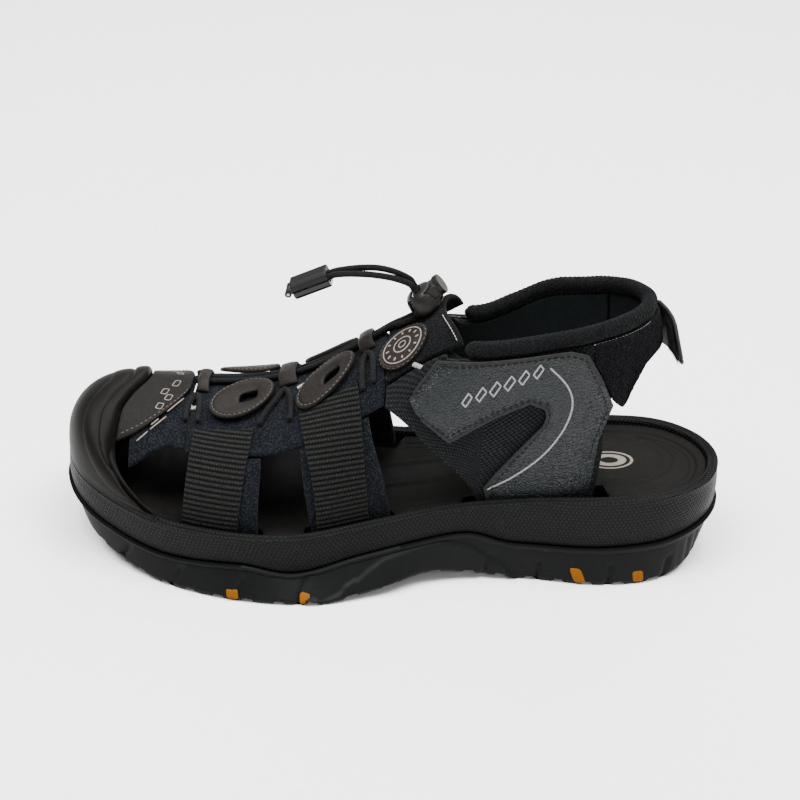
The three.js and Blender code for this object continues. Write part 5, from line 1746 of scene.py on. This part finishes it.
lockLook = {
    "profile": [(0, 0), (6.2, 0), (6.75, 0.35), (7.4, 1.4), (7.55, 2.8), (7.5, 4.2), (7.1, 6.6), (6.4, 8.0),
                (5.4, 9.1), (3.6, 9.8), (1.6, 10), (0, 10)],
    # low and high corner of each box cut from the body
    "cuts": [((5.7, -9, 1.1), (12, 9, 11)), ((-5.8, -5.2, 3.3), (12, 5.2, 8.5)),
             ((-1.65, -3.4, -1), (1.65, 3.4, 12)), ((-3.4, -3.4, -1), (1.65, 3.4, 4)),
             ((-9, -3.4, -1), (0, 3.4, 2.4)), ((-3.0, -3.5, 8.4), (1.72, 3.5, 12))],
    "grain": 0.2, "passes": 5,
}


def soften(piece, grain, passes):
    # an even mesh whose edges are then worn round, as on moulded plastic
    if passes:
        remesh = piece.modifiers.new("even", "REMESH")
        remesh.mode = "VOXEL"
        remesh.voxel_size = grain * millimetre
        remesh.use_smooth_shade = True
        smooth = piece.modifiers.new("wear_and_painted_highlight", "SMOOTH")
        smooth.factor = 0.5
        smooth.iterations = passes


def makeHardware():
    for name, (finish, grain, passes) in hardware.items():
        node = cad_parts[name]
        node.data.materials.clear()
        node.data.materials.append(finishes[finish])
        node.data.polygons.foreach_set("use_smooth", np.ones(len(node.data.polygons), bool))
        if passes:
            soften(node, grain, passes)
        else:
            node.data.set_sharp_from_angle(angle=math.radians(48))


def makeLockBody():
    radius, height = [np.array(c) for c in zip(*lockLook["profile"])]
    angle = np.linspace(0, 2 * math.pi, 97)
    local = np.stack(np.broadcast_arrays(radius[:, None] * np.cos(angle), radius[:, None] * np.sin(angle),
                                         height[:, None] + 0 * angle), -1)
    turned = lockPoints(local)
    blank = joinGrids("cord_lock_shell", [turned], weld=0.002)
    cutters = []
    for index, (low, high) in enumerate(lockLook["cuts"]):
        corners = [fromLock(x, y, z)
                   for x in (low[0], high[0]) for y in (low[1], high[1]) for z in (low[2], high[2])]
        faces = np.array([(0, 1, 3, 2), (4, 6, 7, 5), (0, 4, 5, 1), (2, 3, 7, 6), (0, 2, 6, 4),
                          (1, 5, 7, 3)])
        cutter = meshPiece(f"lockCut{index}", np.array(corners, float), faces)
        fixNormals(cutter)
        cutters.append(cutter)
        cut = blank.modifiers.new(cutter.name, "BOOLEAN")
        cut.operation, cut.solver, cut.object = "DIFFERENCE", "EXACT", cutter
    fixNormals(blank)
    bpy.context.view_layer.update()
    shaped = bpy.data.meshes.new_from_object(blank.evaluated_get(bpy.context.evaluated_depsgraph_get()))
    blank.modifiers.clear()
    blank.data = shaped
    for cutter in cutters:
        bpy.data.objects.remove(cutter)
    shaped.polygons.foreach_set("use_smooth", np.ones(len(shaped.polygons), bool))
    shaped.materials.clear()
    place(blank, finishes["plastic"], "cord_lock", replaces=["cord_lock_body"])
    soften(blank, lockLook["grain"], lockLook["passes"])


spring = {"turns": 2.5, "ends": (-5.2, -3.5), "radius": 1.7, "wire": 0.25, "axisHeight": 5.9,
          "pressed": 0.32}


def makeSpring():
    share = np.linspace(0, 1, 90)
    angle = share * spring["turns"] * 2 * math.pi
    coil = np.stack([lerp(*spring["ends"], share), spring["radius"] * np.cos(angle),
                     spring["axisHeight"] + spring["radius"] * np.sin(angle)], 1)
    piece = tubePiece("cord_lock_coil", lockPoints(coil), spring["wire"], 10, blunt=0.1)
    place(piece, finishes["steel"], "cord_lock", replaces=["cord_lock_spring"])
    start, stop = [toFrame(lockPoints(np.array([[x, 0, spring["axisHeight"]]])))[0] for x in (-5.45, -3.25)]
    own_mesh(piece)


def fixNormals(piece):
    shape = bmesh.new()
    shape.from_mesh(piece.data)
    bmesh.ops.recalc_face_normals(shape, faces=shape.faces)
    shape.to_mesh(piece.data)
    shape.free()


makeLockBody()
makeSpring()
makeHardware()
print("hardware made")


# the studio

studio = {
    "floorColour": (0.90, 0.90, 0.895), "world": 0.46,
    "lights": [("key", (-660, -240, 1800), 1040, 80.0), ("top", (660, -80, 1800), 1040, 80.0),
               ("fill", (400, -1400, 840), 840, 6.0), ("back", (120, 1400, 1400), 1000, 24.0)],
}


def makeStudio():
    lowest = float(cadBox[0][2])
    mesh = bpy.data.meshes.new("floor")
    reach = 4.0
    corners = [(-reach, -reach, lowest), (reach, -reach, lowest), (reach, reach, lowest),
               (-reach, reach, lowest)]
    mesh.from_pydata(corners, [], [(0, 1, 2, 3)])
    floor = bpy.data.objects.new("floor", mesh)
    bpy.context.scene.collection.objects.link(floor)
    paper = Finish("floorPaper", rough=0.9, specular=0.1)
    paper.colour(paper.mix(paper.noise(6, 2), [c * 0.985 for c in studio["floorColour"]],
                           studio["floorColour"]))
    floor.data.materials.append(paper.material)
    world = bpy.data.worlds.new("studioSky")
    bpy.context.scene.world = world
    world.use_nodes = True
    world.node_tree.nodes["Background"].inputs["Color"].default_value = (1, 1, 1, 1)
    world.node_tree.nodes["Background"].inputs["Strength"].default_value = studio["world"]
    for name, spot, size, power in studio["lights"]:
        data = bpy.data.lights.new(name, "AREA")
        data.size = size * millimetre
        data.energy = power
        light = bpy.data.objects.new(name, data)
        light.location = toFrame(spot)
        aim = toFrame((0, 0, 50)) - toFrame(spot)
        light.rotation_euler = Vector(aim).to_track_quat("-Z", "Y").to_euler()
        bpy.context.scene.collection.objects.link(light)


makeStudio()
print("studio made")
